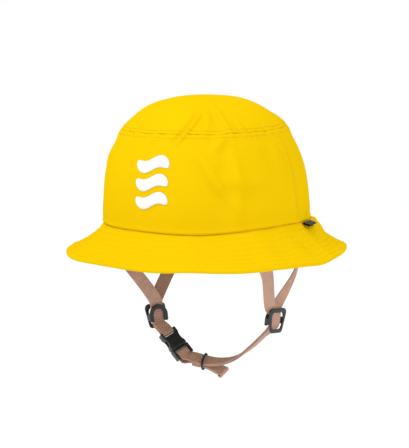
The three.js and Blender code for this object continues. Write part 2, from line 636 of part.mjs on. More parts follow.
// ---- Strap tail and keeper ring ------------------------------------------------------------
// The adjusting tail runs back from the plug under the main strap and ends in a sewn roll.
const TAIL_THICKNESS = 2 * WEBBING_THICKNESS;
const TAIL_DEPTH = LAYER + WEBBING_THICKNESS / 2 + GAP + TAIL_THICKNESS / 2;
const tailStations = [
  [[-28, 22.6, -161], TWIST, TAIL_DEPTH + LAYER * 0.7],
  [[-21, 22.6, -162], TWIST, TAIL_DEPTH + 0.3],
  [[-15.5, 22.6, -162.6], TWIST, TAIL_DEPTH],
  [[-9, 22.6, -163.6], TWIST, TAIL_DEPTH + 0.4],
  [[0, 22.6, -166.5], TWIST, TAIL_DEPTH + 0.8],
  [[7, 22.6, -169.2], TWIST, TAIL_DEPTH + 0.8],
];
const tailStrip = webbing(tailStations, { steps: 14, face: -1, thickness: TAIL_THICKNESS });
const ROLL = { radius: 2.9, squash: 0.85 };
const roll = new THREE.CylinderGeometry(ROLL.radius, ROLL.radius, WEBBING_WIDTH - 0.2, 10);
roll.scale(1, 1, ROLL.squash);
const rollAt = offsetPoint([8.5, 22.6, -169.8], [-0.25, -0.35, -0.9], TAIL_DEPTH + 1);
addPart('strap_tail', toGeometry(tailStrip.add(placed(roll, rollAt, TWIST, [0, -0.54, 0.84]))), 'webbing');

// The keeper is a skewed rubber band round the main strap and the tail.
const KEEPER = { tube: 1, width: WEBBING_WIDTH + 5, depth: 10.2, corner: 0.62, skew: 0.16 };
function keeperRing() {
  const ring = new THREE.TorusGeometry(KEEPER.width / 2, KEEPER.tube, 5, 20);
  const position = ring.getAttribute('position');
  const square = (value) => Math.sign(value) * Math.abs(value) ** KEEPER.corner;
  for (let i = 0; i < position.count; i++) {
    const [x, y, z] = [position.getX(i), position.getY(i), position.getZ(i)];
    const angle = Math.atan2(y, x);
    const [c, s] = [Math.cos(angle), Math.sin(angle)];
    const tube = Math.hypot(x, y) - KEEPER.width / 2;
    const [across, out] = [square(c) * KEEPER.width / 2 + tube * c, square(s) * KEEPER.depth / 2 + tube * s];
    position.setXYZ(i, across, z + KEEPER.skew * across, out);
  }
  return ring;
}
const keeperOut = vector([1, 0, -0.08]).cross(vector(TWIST)).toArray();
const keeperAt = offsetPoint([-15.5, 22.6, -162.6], keeperOut, -TAIL_THICKNESS / 2 - 0.3);
addPart('keeper_ring', toGeometry(placed(keeperRing(), keeperAt, [1, 0, -0.08], keeperOut)), 'plastic');

export default group;
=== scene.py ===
import math

import bmesh
import bpy
import numpy as np
from mathutils import Matrix, Vector


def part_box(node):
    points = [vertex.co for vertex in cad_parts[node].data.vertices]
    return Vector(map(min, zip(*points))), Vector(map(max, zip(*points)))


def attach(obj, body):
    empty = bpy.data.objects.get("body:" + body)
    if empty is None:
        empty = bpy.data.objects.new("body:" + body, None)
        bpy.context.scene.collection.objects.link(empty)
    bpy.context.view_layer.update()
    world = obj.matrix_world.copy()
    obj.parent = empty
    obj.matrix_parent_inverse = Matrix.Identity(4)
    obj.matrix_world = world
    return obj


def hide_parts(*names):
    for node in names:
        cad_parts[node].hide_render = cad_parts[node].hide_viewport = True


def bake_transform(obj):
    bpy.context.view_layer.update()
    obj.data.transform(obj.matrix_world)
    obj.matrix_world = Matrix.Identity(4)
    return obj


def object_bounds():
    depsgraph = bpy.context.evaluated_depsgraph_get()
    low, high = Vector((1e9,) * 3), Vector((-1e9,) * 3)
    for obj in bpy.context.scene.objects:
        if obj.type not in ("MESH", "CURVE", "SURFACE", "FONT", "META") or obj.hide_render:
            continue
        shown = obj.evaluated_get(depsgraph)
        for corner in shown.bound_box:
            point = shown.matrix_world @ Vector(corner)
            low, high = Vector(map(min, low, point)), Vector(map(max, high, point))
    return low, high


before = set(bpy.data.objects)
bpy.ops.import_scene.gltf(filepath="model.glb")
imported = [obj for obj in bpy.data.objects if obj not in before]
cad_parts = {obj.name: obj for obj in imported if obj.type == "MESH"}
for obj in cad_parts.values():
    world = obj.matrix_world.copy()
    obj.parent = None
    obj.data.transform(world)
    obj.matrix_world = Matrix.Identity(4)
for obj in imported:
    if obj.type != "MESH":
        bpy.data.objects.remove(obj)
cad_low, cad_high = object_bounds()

TAU = 2 * math.pi
MM = 0.001
WORN = "helmet"  # the body that everything fixed to the helmet rides on

# ---- Sizes taken from the frame --------------------------------------------------------
CROWN_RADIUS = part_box("side_panel_front")[1][0]  # half the crown's width at the brim seam
CROWN_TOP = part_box("crown_top_panel")[1][2]
TOP_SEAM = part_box("crown_top_panel")[0][2]
BRIM_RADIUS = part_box("brim_front_panel")[1][0]
# The head shape is CROWN_RADIUS wide, longer from front to back, and leans forward above.
FULLNESS = 2.6
LENGTHENING, BLEND = 20 * MM, 40 * MM
LEAN = 9 / 104
CLOTH = 1.0 * MM


def head_point(r, angle, z):
    """A point of the head shape: ring radius, turn about Z and height, as arrays."""
    x, y = r * np.cos(angle), r * np.sin(angle)
    return np.stack([x, y * (1 + LENGTHENING / np.hypot(r, BLEND)) - LEAN * np.maximum(z, 0), z + 0 * x], -1)


def crown_radius(z, inset=0.0):
    share = np.clip(np.maximum(z, 0) / (CROWN_TOP - inset), 0, 1) ** FULLNESS
    return (CROWN_RADIUS - inset) * (1 - share) ** (1 / FULLNESS)


# ---- Small tools -----------------------------------------------------------------------
def smooth_noise(x, y, seed, octaves=3):
    """Repeatable soft noise from sums of waves, about -1 to 1. It closes on itself in x over TAU."""
    rng = np.random.default_rng(seed)
    total, weight = 0, 0
    for octave in range(octaves):
        for _ in range(5):
            turns = int(rng.integers(1, 4)) * 2**octave
            lines = rng.uniform(-2.5, 2.5) * 2**octave
            total = total + np.sin(turns * x + lines * y + rng.uniform(0, TAU)) / 2**octave
            weight += 1 / 2**octave
    return 2.2 * total / weight


def step(value, low, high):
    share = np.clip((value - low) / (high - low), 0, 1)
    return share * share * (3 - 2 * share)


def bell(value, centre, width):
    return np.exp(-(((value - centre) / width) ** 2))


def new_object(name, points, faces, smooth=True, uv=None):
    mesh = bpy.data.meshes.new(name)
    mesh.from_pydata([tuple(p) for p in points], [], faces)
    if uv is not None:
        layer = mesh.uv_layers.new(name="weave")
        for loop in mesh.loops:
            layer.data[loop.index].uv = uv[loop.vertex_index]
    for polygon in mesh.polygons:
        polygon.use_smooth = smooth
    mesh.update()
    item = bpy.data.objects.new(name, mesh)
    bpy.context.scene.collection.objects.link(item)
    return item


def grid_faces(rows, columns, closed=False):
    faces = []
    for i in range(rows - 1):
        for j in range(columns if closed else columns - 1):
            k = (j + 1) % columns
            faces.append((i * columns + j, i * columns + k, (i + 1) * columns + k, (i + 1) * columns + j))
    return faces


def apply_modifiers(item):
    graph = bpy.context.evaluated_depsgraph_get()
    mesh = bpy.data.meshes.new_from_object(item.evaluated_get(graph))
    item.modifiers.clear()
    item.data = mesh
    return item


def thicken(item, thickness):
    """Gives a sheet its cloth thickness, inwards, with a closed edge."""
    made = item.modifiers.new("cloth", "SOLIDIFY")
    made.thickness = thickness
    made.offset = -1
    return apply_modifiers(item)


def face_outwards(item):
    shape = bmesh.new()
    shape.from_mesh(item.data)
    bmesh.ops.recalc_face_normals(shape, faces=shape.faces)
    shape.to_mesh(item.data)
    shape.free()
    return item


def join(name, items):
    """One mesh from several, keeping each one's faces and UVs."""
    with bpy.context.temp_override(active_object=items[0], selected_editable_objects=items):
        bpy.ops.object.join()
    items[0].name = name
    items[0].data.name = name
    return items[0]


def finish_piece(item, material, body=WORN, nodes=()):
    item.data.materials.clear()
    item.data.materials.append(material)
    if body:
        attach(item, body)
    if nodes:
        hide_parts(*nodes)
    return item


# ---- Camera, lights and floor -----------------------------------------------------------
CAMERA = {"turn": 27.2, "rise": 7.2, "distance": 2.6, "lens": 190}


def set_camera():
    turn, rise = math.radians(CAMERA["turn"]), math.radians(CAMERA["rise"])
    back = Vector((math.sin(turn) * math.cos(rise), -math.cos(turn) * math.cos(rise), math.sin(rise)))
    data = bpy.data.cameras.new("camera")
    data.lens, data.sensor_width = CAMERA["lens"], 36
    camera = bpy.data.objects.new("camera", data)
    camera.location = Vector((-0.0028, -0.0015, -0.0052)) + back * CAMERA["distance"]
    camera.rotation_mode = "QUATERNION"
    camera.rotation_quaternion = (-back).to_track_quat("-Z", "Y")
    bpy.context.scene.collection.objects.link(camera)
    bpy.context.scene.camera = camera


def add_light(name, turn, rise, distance, size, power):
    turn, rise = math.radians(turn), math.radians(rise)
    back = Vector((math.sin(turn) * math.cos(rise), -math.cos(turn) * math.cos(rise), math.sin(rise)))
    data = bpy.data.lights.new(name, "AREA")
    data.shape, data.size, data.energy = "DISK", size, power
    light = bpy.data.objects.new(name, data)
    light.location = back * distance
    light.rotation_mode = "QUATERNION"
    light.rotation_quaternion = (-back).to_track_quat("-Z", "Y")
    bpy.context.scene.collection.objects.link(light)


# Name, turn and rise in degrees, distance and size in metres, power in watts.
LIGHTS = (
    ("key", -16, 50, 1.6, 0.8, 9),
    ("fill", 85, 25, 1.8, 1.2, 4),
    ("back", 190, 50, 1.8, 1.2, 1.6),
)


def set_stage():
    world = bpy.data.worlds.new("studio")
    world.use_nodes = True
    sky = world.node_tree.nodes["Background"]
    sky.inputs["Color"].default_value = (1, 1, 1, 1)
    sky.inputs["Strength"].default_value = 1.0
    bpy.context.scene.world = world
    bpy.context.scene.view_settings.view_transform = "Standard"
    for light in LIGHTS:
        add_light(*light)
    below = (0, 0, cad_low[2] - 0.25)
    bpy.ops.mesh.primitive_circle_add(vertices=96, radius=40, fill_type="NGON", location=below)
    floor = bpy.context.object
    floor.name = "floor"
    paint = bpy.data.materials.new("floor_paint")
    paint.use_nodes = True
    shader = paint.node_tree.nodes["Principled BSDF"]
    shader.inputs["Base Color"].default_value = (1, 1, 1, 1)
    shader.inputs["Roughness"].default_value = 0.9
    floor.data.materials.append(paint)


set_camera()
set_stage()


# ---- Materials --------------------------------------------------------------------------
class Paint:
    """A node material built round one Principled shader."""

    def __init__(self, name, colour, roughness, **sockets):
        self.material = bpy.data.materials.new(name)
        self.material.use_nodes = True
        self.tree = self.material.node_tree
        self.shader = self.tree.nodes["Principled BSDF"]
        self.colour = colour
        self.shader.inputs["Base Color"].default_value = (*colour, 1)
        self.shader.inputs["Roughness"].default_value = roughness
        for socket, value in sockets.items():
            self.shader.inputs[socket.replace("_", " ")].default_value = value
        self.last_bump = None

    def node(self, kind, inputs=(), **settings):
        made = self.tree.nodes.new(kind)
        for key, value in settings.items():
            setattr(made, key, value)
        for socket, value in dict(inputs).items():
            if isinstance(value, bpy.types.NodeSocket):
                self.tree.links.new(value, made.inputs[socket])
            else:
                made.inputs[socket].default_value = value
        return made

    def place(self, source="Object", scale=(1, 1, 1)):
        coordinates = self.node("ShaderNodeTexCoord").outputs[source]
        return self.node("ShaderNodeMapping", {"Vector": coordinates, "Scale": scale}).outputs["Vector"]

    def noise(self, scale, detail=2.0, place=None):
        place = self.place() if place is None else place
        inputs = {"Vector": place, "Scale": scale, "Detail": detail}
        return self.node("ShaderNodeTexNoise", inputs).outputs["Fac"]

    def maths(self, operation, a, b=0.0):
        return self.node("ShaderNodeMath", {0: a, 1: b}, operation=operation).outputs[0]

    def spread(self, value, low, high):
        inputs = {"Value": value, "To Min": low, "To Max": high}
        return self.node("ShaderNodeMapRange", inputs).outputs["Result"]

    def shade(self, amount, darker, lighter):
        """Colour from darker to lighter times the material's own colour."""
        pair = [tuple(min(1, c * k) for c in self.colour) + (1,) for k in (darker, lighter)]
        ramp = self.node("ShaderNodeValToRGB", {"Fac": amount})
        ramp.color_ramp.elements[0].color, ramp.color_ramp.elements[1].color = pair
        self.tree.links.new(ramp.outputs["Color"], self.shader.inputs["Base Color"])

    def rough(self, amount, low, high):
        self.tree.links.new(self.spread(amount, low, high), self.shader.inputs["Roughness"])

    def bump(self, height, distance, strength=1.0):
        inputs = {"Height": height, "Distance": distance, "Strength": strength}
        if self.last_bump is not None:
            inputs["Normal"] = self.last_bump
        self.last_bump = self.node("ShaderNodeBump", inputs).outputs["Normal"]
        self.tree.links.new(self.last_bump, self.shader.inputs["Normal"])

    def weave(self, pitch, source="Object", scale=(1, 1, 1)):
        """Plain weave: crossed threads, 0 between them and 1 on top, pitch apart."""
        parts = self.node("ShaderNodeSeparateXYZ", {"Vector": self.place(source, scale)}).outputs
        turns = [self.maths("SINE", self.maths("MULTIPLY", part, TAU / pitch)) for part in parts]
        product = self.maths("MULTIPLY", turns[0], turns[1] if source == "UV" else turns[2])
        return self.spread(product, 0.0, 1.0)


def cloth_paint(name, colour, pitch=0.55 * MM):
    paint = Paint(name, colour, 0.85, Specular_IOR_Level=0.0)
    weave = paint.weave(pitch, "UV")
    patches = paint.noise(14, 3)
    tone = paint.maths("ADD", paint.maths("MULTIPLY", weave, 0.35), paint.maths("MULTIPLY", patches, 0.65))
    paint.shade(tone, 0.93, 1.04)
    paint.rough(patches, 0.7, 0.86)
    paint.bump(weave, 0.05 * MM, 0.5)
    paint.bump(paint.noise(260, 3), 0.06 * MM, 0.5)
    return paint.material


def thread_paint(name, colour):
    paint = Paint(name, colour, 0.6, Specular_IOR_Level=0.2)
    twist = paint.noise(900, 2)
    paint.shade(twist, 0.75, 1.1)
    paint.bump(twist, 0.05 * MM, 0.5)
    return paint.material


YELLOW = (0.765, 0.500, 0.002)
COVER_PAINT = cloth_paint("cover_cloth", YELLOW)
UNDER_PAINT = cloth_paint("underbrim_cloth", (0.70, 0.43, 0.005))
# The thread colour is the cover's yellow darkened: painted shade for the shadowed dimples between stitches.
SHADE_DARKENED_THREAD_PAINT = thread_paint("cover_thread_painted_shade", (0.68, 0.37, 0.003))


# ---- Stitches ---------------------------------------------------------------------------
STITCH = {"pitch": 3.3 * MM, "length": 2.3 * MM, "radius": 0.3 * MM}


def lay_stitches(name, rows, nodes=()):
    """Short sunk threads along rows of closely spaced points, each a tapered six-sided bead."""
    points, faces = [], []
    ring = [(math.cos(k * TAU / 6), math.sin(k * TAU / 6)) for k in range(6)]
    profile = [(-0.5, 0.35), (-0.3, 1.0), (0.3, 1.0), (0.5, 0.35)]
    for path in rows:
        path = np.asarray(path)
        run = np.concatenate([[0], np.cumsum(np.linalg.norm(np.diff(path, axis=0), axis=1))])
        count = int(run[-1] / STITCH["pitch"])
        middles = (np.arange(count) + 0.5) * run[-1] / max(count, 1)
        for middle in middles:
            here = np.array([np.interp(middle, run, path[:, k]) for k in range(3)])
            ahead = np.array([np.interp(middle + 0.5 * MM, run, path[:, k]) for k in range(3)])
            behind = np.array([np.interp(middle - 0.5 * MM, run, path[:, k]) for k in range(3)])
            along = (ahead - behind) / max(np.linalg.norm(ahead - behind), 1e-9)
            side = np.cross(along, (0.0, 0.0, 1.0))
            if np.linalg.norm(side) < 1e-6:
                side = np.array([1.0, 0.0, 0.0])
            side /= np.linalg.norm(side)
            over = np.cross(side, along)
            base = len(points)
            for share, size in profile:
                for c, d in ring:
                    offset = (side * c + over * d) * STITCH["radius"] * size
                    points.append(here + along * share * STITCH["length"] + offset)
            faces += [tuple(base + k for k in reversed(range(6))), tuple(base + 18 + k for k in range(6))]
            for level in range(3):
                for k in range(6):
                    a, b = base + 6 * level + k, base + 6 * level + (k + 1) % 6
                    faces.append((a, b, b + 6, a + 6))
    return finish_piece(new_object(name, points, faces), SHADE_DARKENED_THREAD_PAINT, nodes=nodes)


# ---- Crown cloth ------------------------------------------------------------------------
LEFT_SEAM = 0.04  # the side seams lie just behind the wearer's left side and at the right
FRONT_HALF, REAR_HALF = (-math.pi, LEFT_SEAM), (LEFT_SEAM, math.pi)
TOPSTITCH = 4.2 * MM  # a topstitched row runs this far from a seam


def side_distance(angle):
    """Distance round the crown from the nearer side seam; positive towards the rear."""
    from_left = np.arctan2(np.sin(angle - LEFT_SEAM), np.cos(angle - LEFT_SEAM))
    from_right = np.arctan2(np.sin(math.pi - angle), np.cos(math.pi - angle))
    near_left = np.abs(from_left) < np.abs(from_right)
    return np.where(near_left, from_left, from_right) * CROWN_RADIUS


def seam_relief(distance, pucker):
    """Height of cloth at a distance from a seam: a ditch, a raised allowance, a stitched row."""
    away = np.abs(distance)
    raised = 0.35 * MM * (1 - step(away, 5.4 * MM, 6.6 * MM))
    ditch = -0.35 * MM * bell(away, 0, 0.6 * MM)
    row = -0.25 * MM * bell(away, TOPSTITCH, 0.6 * MM)
    return raised + ditch + row + pucker * 0.3 * MM * np.exp(-((away / (10 * MM)) ** 1.5))


# Pulled folds across the crown: (turn, height) at each end in degrees and mm, width, depth.
CREASES = [
    ((-57, 127), (-80, 86), 2.2, 2.2),
    ((-46, 134), (-38, 98), 4.0, 2.2),
    ((-52, 124), (-56, 106), 3.0, 0.7),
    ((-42, 104), (-54, 86), 5.0, 2.0),
    ((-104, 122), (-114, 92), 2.6, 1.2),
    ((-92, 126), (-98, 104), 5.0, 0.9),
    ((-88, 106), (-104, 84), 5.0, 1.2),
    ((-41, 94), (-41, 4), 6.0, 2.4),
    ((-67, 97), (-43, 22), 5.5, 2.4),
    ((-84, 88), (-77, 56), 6.0, 1.5),
    ((-52, 58), (-22, 48), 8.0, 1.4),
    ((-14, 92), (-4, 48), 6.0, 1.8),
    ((-32, 117), (-28, 100), 2.2, 1.1),
    ((-25, 112), (-20, 96), 1.8, 0.8),
    ((-9, 112), (-6, 98), 2.4, 1.0),
    ((-120, 108), (-122, 92), 2.4, 0.9),
    ((28, 120), (40, 88), 3.0, 1.4),
    ((62, 118), (52, 84), 4.0, 1.2),
    ((95, 124), (80, 88), 2.6, 1.5),
    ((118, 100), (136, 66), 8.0, 1.6),
    ((150, 118), (162, 86), 2.6, 1.4),
    ((-150, 116), (-140, 86), 2.6, 1.4),
    ((-168, 90), (-150, 60), 8.0, 1.5),
]


# Where the cover's shoulder sits closest to the shell, at the right and behind.
SLACK = {"turn": -2.67, "width": 0.5, "height": 22 * MM, "depth": 2.4 * MM}


def crease_relief(angle, z):
    """Ridges with a hollow along one side, where the cover is pulled over the shell."""
    inward = np.arctan2(np.sin(angle - SLACK["turn"]), np.cos(angle - SLACK["turn"]))
    total = -SLACK["depth"] * bell(inward, 0, SLACK["width"]) * bell(z, TOP_SEAM, SLACK["height"])
    reach = 96 * MM
    for (turn_a, z_a), (turn_b, z_b), width, depth in CREASES:
        start = math.radians(turn_a)
        x = np.arctan2(np.sin(angle - start), np.cos(angle - start)) * reach
        y = z - z_a * MM
        dx, dy = math.radians(turn_b - turn_a) * reach, (z_b - z_a) * MM
        length = math.hypot(dx, dy)
        along = (x * dx + y * dy) / length**2
        off = (x * dy - y * dx) / length
        w = width * MM
        fade = step(along, -0.05, 0.35) * (1 - step(along, 0.6, 1.1))
        total = total + 1.35 * depth * MM * fade * (bell(off, 0, w) - 0.75 * bell(off, 2.0 * w, 1.3 * w))
    return total


EMBLEM = {"width": 38 * MM, "spacing": 19 * MM, "height": 53 * MM, "half": 6.3 * MM, "swing": 3.4 * MM}


def under_emblem(angle, z):
    """1 where the cloth lies flat behind the emblem."""
    across = np.abs(np.arctan2(np.sin(angle + math.pi / 2), np.cos(angle + math.pi / 2))) * CROWN_RADIUS
    away = np.abs(z - EMBLEM["height"])
    return (1 - step(across, 20 * MM, 34 * MM)) * (1 - step(away, 30 * MM, 42 * MM))


def band_relief(angle, z):
    below_top = TOP_SEAM - z
    fine = smooth_noise(angle * 14, z * 40, 3, 2)
    soft = smooth_noise(angle, z * 22, 5, 2)
    relief = 1.0 * MM * soft * step(z, 0.004, 0.03) * (1 - step(z, TOP_SEAM - 0.012, TOP_SEAM))
    relief += seam_relief(below_top, fine)
    relief += 0.12 * MM * fine * np.exp(-z / (7 * MM)) + 0.6 * MM * bell(z, 2.6 * MM, 2.4 * MM)
    relief -= 1.9 * MM * step(-z, -1.5 * MM, -0.2 * MM)
    relief += crease_relief(angle, z)
    relief = relief * (1 - under_emblem(angle, z))
    side = side_distance(angle)
    relief += 0.3 * MM * (1 - step(np.abs(side), 6.8 * MM, 8 * MM)) * (side < 0)
    relief += -0.4 * MM * bell(side, 0, 0.6 * MM) - 0.25 * MM * bell(side, -4.6 * MM, 0.6 * MM)
    relief -= 1.6 * MM * step(z, TOP_SEAM - 0.4 * MM, TOP_SEAM + 1.2 * MM)
    return relief


def seam_shift(angle):
    """The brim seam dips in front of the wearer's left eye and rises towards the left ear."""
    dip, rise = np.cos(angle + 1.12), np.cos(angle + 0.2)
    return 2.2 * MM * (np.exp(8 * (rise - 1)) - np.exp(12 * (dip - 1)))


def held_off_shell(relief):
    """Cloth can sink only as far as the hard shell under it."""
    free, room = -1.0 * MM, 1.4 * MM
    return np.where(relief < free, free - room * np.tanh((free - relief) / room), relief)


def crown_surface(angle, z, relief):
    """Points of the crown cloth and their outward normals, as grids."""
    angle, z = np.broadcast_arrays(angle, z)
    reach = crown_radius(z)
    lower, upper = z - 0.2 * MM, np.minimum(z + 0.2 * MM, CROWN_TOP)
    across = head_point(reach, angle + 0.002, z) - head_point(reach, angle - 0.002, z)
    upwards = head_point(crown_radius(upper), angle, upper) - head_point(crown_radius(lower), angle, lower)
    normal = np.cross(across, upwards)
    normal /= np.maximum(np.linalg.norm(normal, axis=-1, keepdims=True), 1e-12)
    points = head_point(reach, angle, z) + normal * held_off_shell(relief(angle, z))[..., None]
    points[..., 2] += seam_shift(angle) * (1 - step(z, 0, 35 * MM))
    return points


def make_side_panels():
    low_rows = [-1.4 * MM, -0.7 * MM, -0.2 * MM]
    heights = np.concatenate([low_rows, np.linspace(0.3 * MM, TOP_SEAM + 0.9 * MM, 110)])
    for part, (low, high) in (("front", FRONT_HALF), ("rear", REAR_HALF)):
        angle, z = np.meshgrid(np.linspace(low, high, 360), heights)
        points = crown_surface(angle, z, band_relief).reshape(-1, 3)
        uv = np.stack([angle * CROWN_RADIUS * 1.08, z], -1).reshape(-1, 2)
        panel = new_object(f"side_panel_{part}_cloth", points, grid_faces(*angle.shape), uv=uv)
        panel = thicken(panel, CLOTH)
        finish_piece(panel, COVER_PAINT, nodes=[f"side_panel_{part}"])


SEAM_RING = crown_radius(np.asarray(TOP_SEAM))


def top_relief(angle, z):
    reach = crown_radius(z)
    from_seam = np.hypot(SEAM_RING - reach, z - TOP_SEAM)
    fine = smooth_noise(angle * 11, from_seam * 30, 8, 2)
    share = reach / SEAM_RING
    relief = seam_relief(from_seam, fine)
    relief += 0.7 * MM * smooth_noise(angle, share * 3, 9, 2) * share * step(from_seam, 0.004, 0.02)
    return relief + crease_relief(angle, z) * step(share, 0.25, 0.6)


def make_top_panel():
    rounds = np.linspace(1, 0.02, 80)
    heights = TOP_SEAM + (CROWN_TOP - TOP_SEAM) * np.cos(rounds * math.pi / 2)
    angles = np.linspace(-math.pi, math.pi, 600, endpoint=False)
    angle, z = np.meshgrid(angles, heights)
    points = crown_surface(angle, z, top_relief).reshape(-1, 3)
    rows, columns = angle.shape
    apex = points[-columns:].mean(axis=0)
    faces = grid_faces(rows, columns, closed=True)
    last = (rows - 1) * columns
    faces += [(last + j, last + (j + 1) % columns, rows * columns) for j in range(columns)]
    points = np.vstack([points, apex])
    panel = new_object("crown_top_cloth", points, faces, uv=points[:, :2])
    panel = finish_piece(thicken(panel, CLOTH), COVER_PAINT, nodes=["crown_top_panel"])


def make_crown_stitches():
    turns = np.linspace(-math.pi, math.pi, 900)
    sunk = lambda relief: lambda a, z: relief(a, z) + 0.12 * MM
    above = np.linspace(TOP_SEAM, TOP_SEAM + 8 * MM, 200)
    walked = np.hypot(SEAM_RING - crown_radius(above), above - TOP_SEAM)
    row_height = np.interp(TOPSTITCH, walked, above)
    rows = [crown_surface(turns, np.full_like(turns, TOP_SEAM - TOPSTITCH), sunk(band_relief))]
    rows.append(crown_surface(turns, np.full_like(turns, row_height), sunk(top_relief)))
    heights = np.linspace(3 * MM, TOP_SEAM - 6 * MM, 200)
    beside = 4.6 * MM / CROWN_RADIUS
    for turn in (LEFT_SEAM - beside, math.pi + beside):
        rows.append(crown_surface(np.full_like(heights, turn), heights, sunk(band_relief)))
    lay_stitches("crown_stitches", rows)


# ---- Brim -------------------------------------------------------------------------------
BRIM_START = CROWN_RADIUS - 1.6 * MM
BRIM_DROP = 32 * MM
BRIM_HOLLOW = 4 * MM
BRIM_STACK = 3.8 * MM
BRIM_LENGTH = math.hypot(BRIM_RADIUS - BRIM_START, BRIM_DROP)
BRIM_ROWS = 7
ROW_SPACING = BRIM_LENGTH / (BRIM_ROWS + 0.55)


def turned_from(angle, centre):
    return np.arctan2(np.sin(angle - centre), np.cos(angle - centre))


# Lift of the brim above a plain cone, in mm at shares of its width, at the folds beside the head.
FOLD_SHARES = (0, 0.06, 0.18, 0.34, 0.45, 0.66, 0.9, 1)
LEFT_FOLD = (0, 3.2, 7.2, 5.2, 1.6, 2.4, 2.6, 1.8)
RIGHT_FOLD = (0, -0.8, -2.2, -0.6, 0.3, 1.4, 2.8, 1.6)


# Short folds across the brim: turn, share of its width, widths in both directions, height in mm.
BRIM_FOLDS = [
    (-2.24, 0.7, 0.03, 0.4, 0.9),
    (-2.36, 0.8, 0.025, 0.3, 0.7),
    (-0.42, 0.4, 0.05, 0.35, -1.3),
    (-0.26, 0.35, 0.05, 0.3, 1.6),
    (-0.12, 0.5, 0.04, 0.35, -1.8),
    (0.14, 0.3, 0.05, 0.16, -2.4),
    (0.24, 0.22, 0.06, 0.14, 2.0),
    (0.1, 0.62, 0.03, 0.2, -1.8),
    (0.03, 0.6, 0.04, 0.3, 1.6),
    (0.34, 0.5, 0.05, 0.2, -1.0),
    (-1.75, 0.4, 0.07, 0.4, 1.0),
    (-1.45, 0.5, 0.08, 0.4, -1.1),
    (-0.58, 0.5, 0.07, 0.4, 1.2),
]


def brim_wave(angle, share):
    """How far the brim is bent up at a turn, growing towards its edge."""
    wave = 1.3 * MM * smooth_noise(angle, 0 * angle, 12, 2) * share ** 1.3
    dips = 1.5 * MM * bell(turned_from(angle, -1.17), 0, 0.16)
    dips = dips - 0.9 * MM * bell(turned_from(angle, -0.75), 0, 0.2)
    wave += dips * share ** 2
    right_rise = 2.0 * MM * bell(turned_from(angle, -1.95), 0, 0.35)
    left_dip = 2.6 * MM * bell(turned_from(angle, -0.1), 0, 0.18)
    wave += (right_rise - left_dip) * share**2
    nearer, further = (np.interp(share + by, FOLD_SHARES, LEFT_FOLD) for by in (-0.02, 0.02))
    smooth_share = 0.5 * (nearer + further)
    wave += MM * smooth_share * step(share, 0, 0.05) * bell(turned_from(angle, 0.56), 0, 0.24)
    wave += MM * np.interp(share, FOLD_SHARES, RIGHT_FOLD) * bell(turned_from(angle, -2.62), 0, 0.26)
    for turn, place, width, reach, height in BRIM_FOLDS:
        wave += height * MM * bell(turned_from(angle, turn), 0, width) * bell(share, place, reach)
    return wave


def brim_point(share, angle, depth=0.0):
    r = BRIM_START + (BRIM_RADIUS - BRIM_START) * share
    z = -BRIM_DROP * share - BRIM_HOLLOW * np.sin(math.pi * share) - depth + brim_wave(angle, share)
    z = z + seam_shift(angle) * (1 - step(share, 0, 0.8))
    point = head_point(r, angle, 0 * z)
    point[..., 2] = z
    return point


def brim_relief(share, angle):
    """Quilting between the stitched rows, and the radial seam at each side."""
    along = share * BRIM_LENGTH
    row = (along / ROW_SPACING) % 1.0
    away = np.minimum(row, 1 - row) * ROW_SPACING
    groove = -0.7 * MM * bell(away, 0, 0.8 * MM) * (along > 3 * MM)
    puckers = 0.06 * MM * smooth_noise(angle * 20, along * 60, 21, 2)
    puckers = puckers + 0.7 * MM * smooth_noise(angle * 5, along * 16, 22, 2)
    side = side_distance(angle) * (1 + 0.3 * share)
    seam = -0.7 * MM * bell(side, 0, 0.7 * MM) + 0.4 * MM * (1 - step(np.abs(side), 6.4 * MM, 7.4 * MM))
    seam += -0.4 * MM * bell(np.abs(side), 5.0 * MM, 0.7 * MM)
    return groove + puckers + seam


def brim_top(share, angle, lift=0.0):
    points = brim_point(share, angle, 0)
    points[..., 2] += brim_relief(share, angle) * 0.85 + lift
    return points


def make_brim():
    shares = np.linspace(0, 1, 110)
    turn = np.linspace(0, math.pi, 9)[1:]
    edge_radius = BRIM_STACK / 2
    for part, (low, high) in (("front", FRONT_HALF), ("rear", REAR_HALF)):
        angles = np.linspace(low, high, 460)
        angle, share = np.meshgrid(angles, shares)
        rolled = []
        for bend in turn:  # the cloth turns down round the edge
            edge = brim_point(np.ones_like(angles), angles, edge_radius * (1 - math.cos(bend)))
            out = head_point(BRIM_RADIUS + 1.6 * MM * math.sin(bend), angles, 0 * angles)
            edge[:, :2] = out[:, :2]
            rolled.append(edge)
        points = np.concatenate([brim_top(share, angle), np.array(rolled)])
        rows = np.concatenate([shares * BRIM_LENGTH, BRIM_LENGTH + turn * edge_radius])
        uv = np.stack(np.meshgrid(angles * CROWN_RADIUS * 1.3, rows), -1)
        faces = grid_faces(len(rows), len(angles))
        cloth = new_object(f"brim_{part}_cloth", points.reshape(-1, 3), faces, uv=uv.reshape(-1, 2))
        cloth = face_outwards(thicken(cloth, 0.5 * MM))
        finish_piece(cloth, COVER_PAINT, nodes=[f"brim_{part}_panel"])

        under = brim_point(share[::2], angle[::2], BRIM_STACK)
        under[..., 2] -= 0.6 * brim_relief(share[::2], angle[::2])
        faces = grid_faces(len(under), len(angles))
        uv = np.stack([angle[::2] * CROWN_RADIUS * 1.3, share[::2] * BRIM_LENGTH], -1)
        lining = new_object(f"underbrim_{part}_cloth", under.reshape(-1, 3), faces, uv=uv.reshape(-1, 2))
        lining = thicken(lining, 0.5 * MM)
        finish_piece(lining, UNDER_PAINT, nodes=[f"underbrim_{part}_panel"])


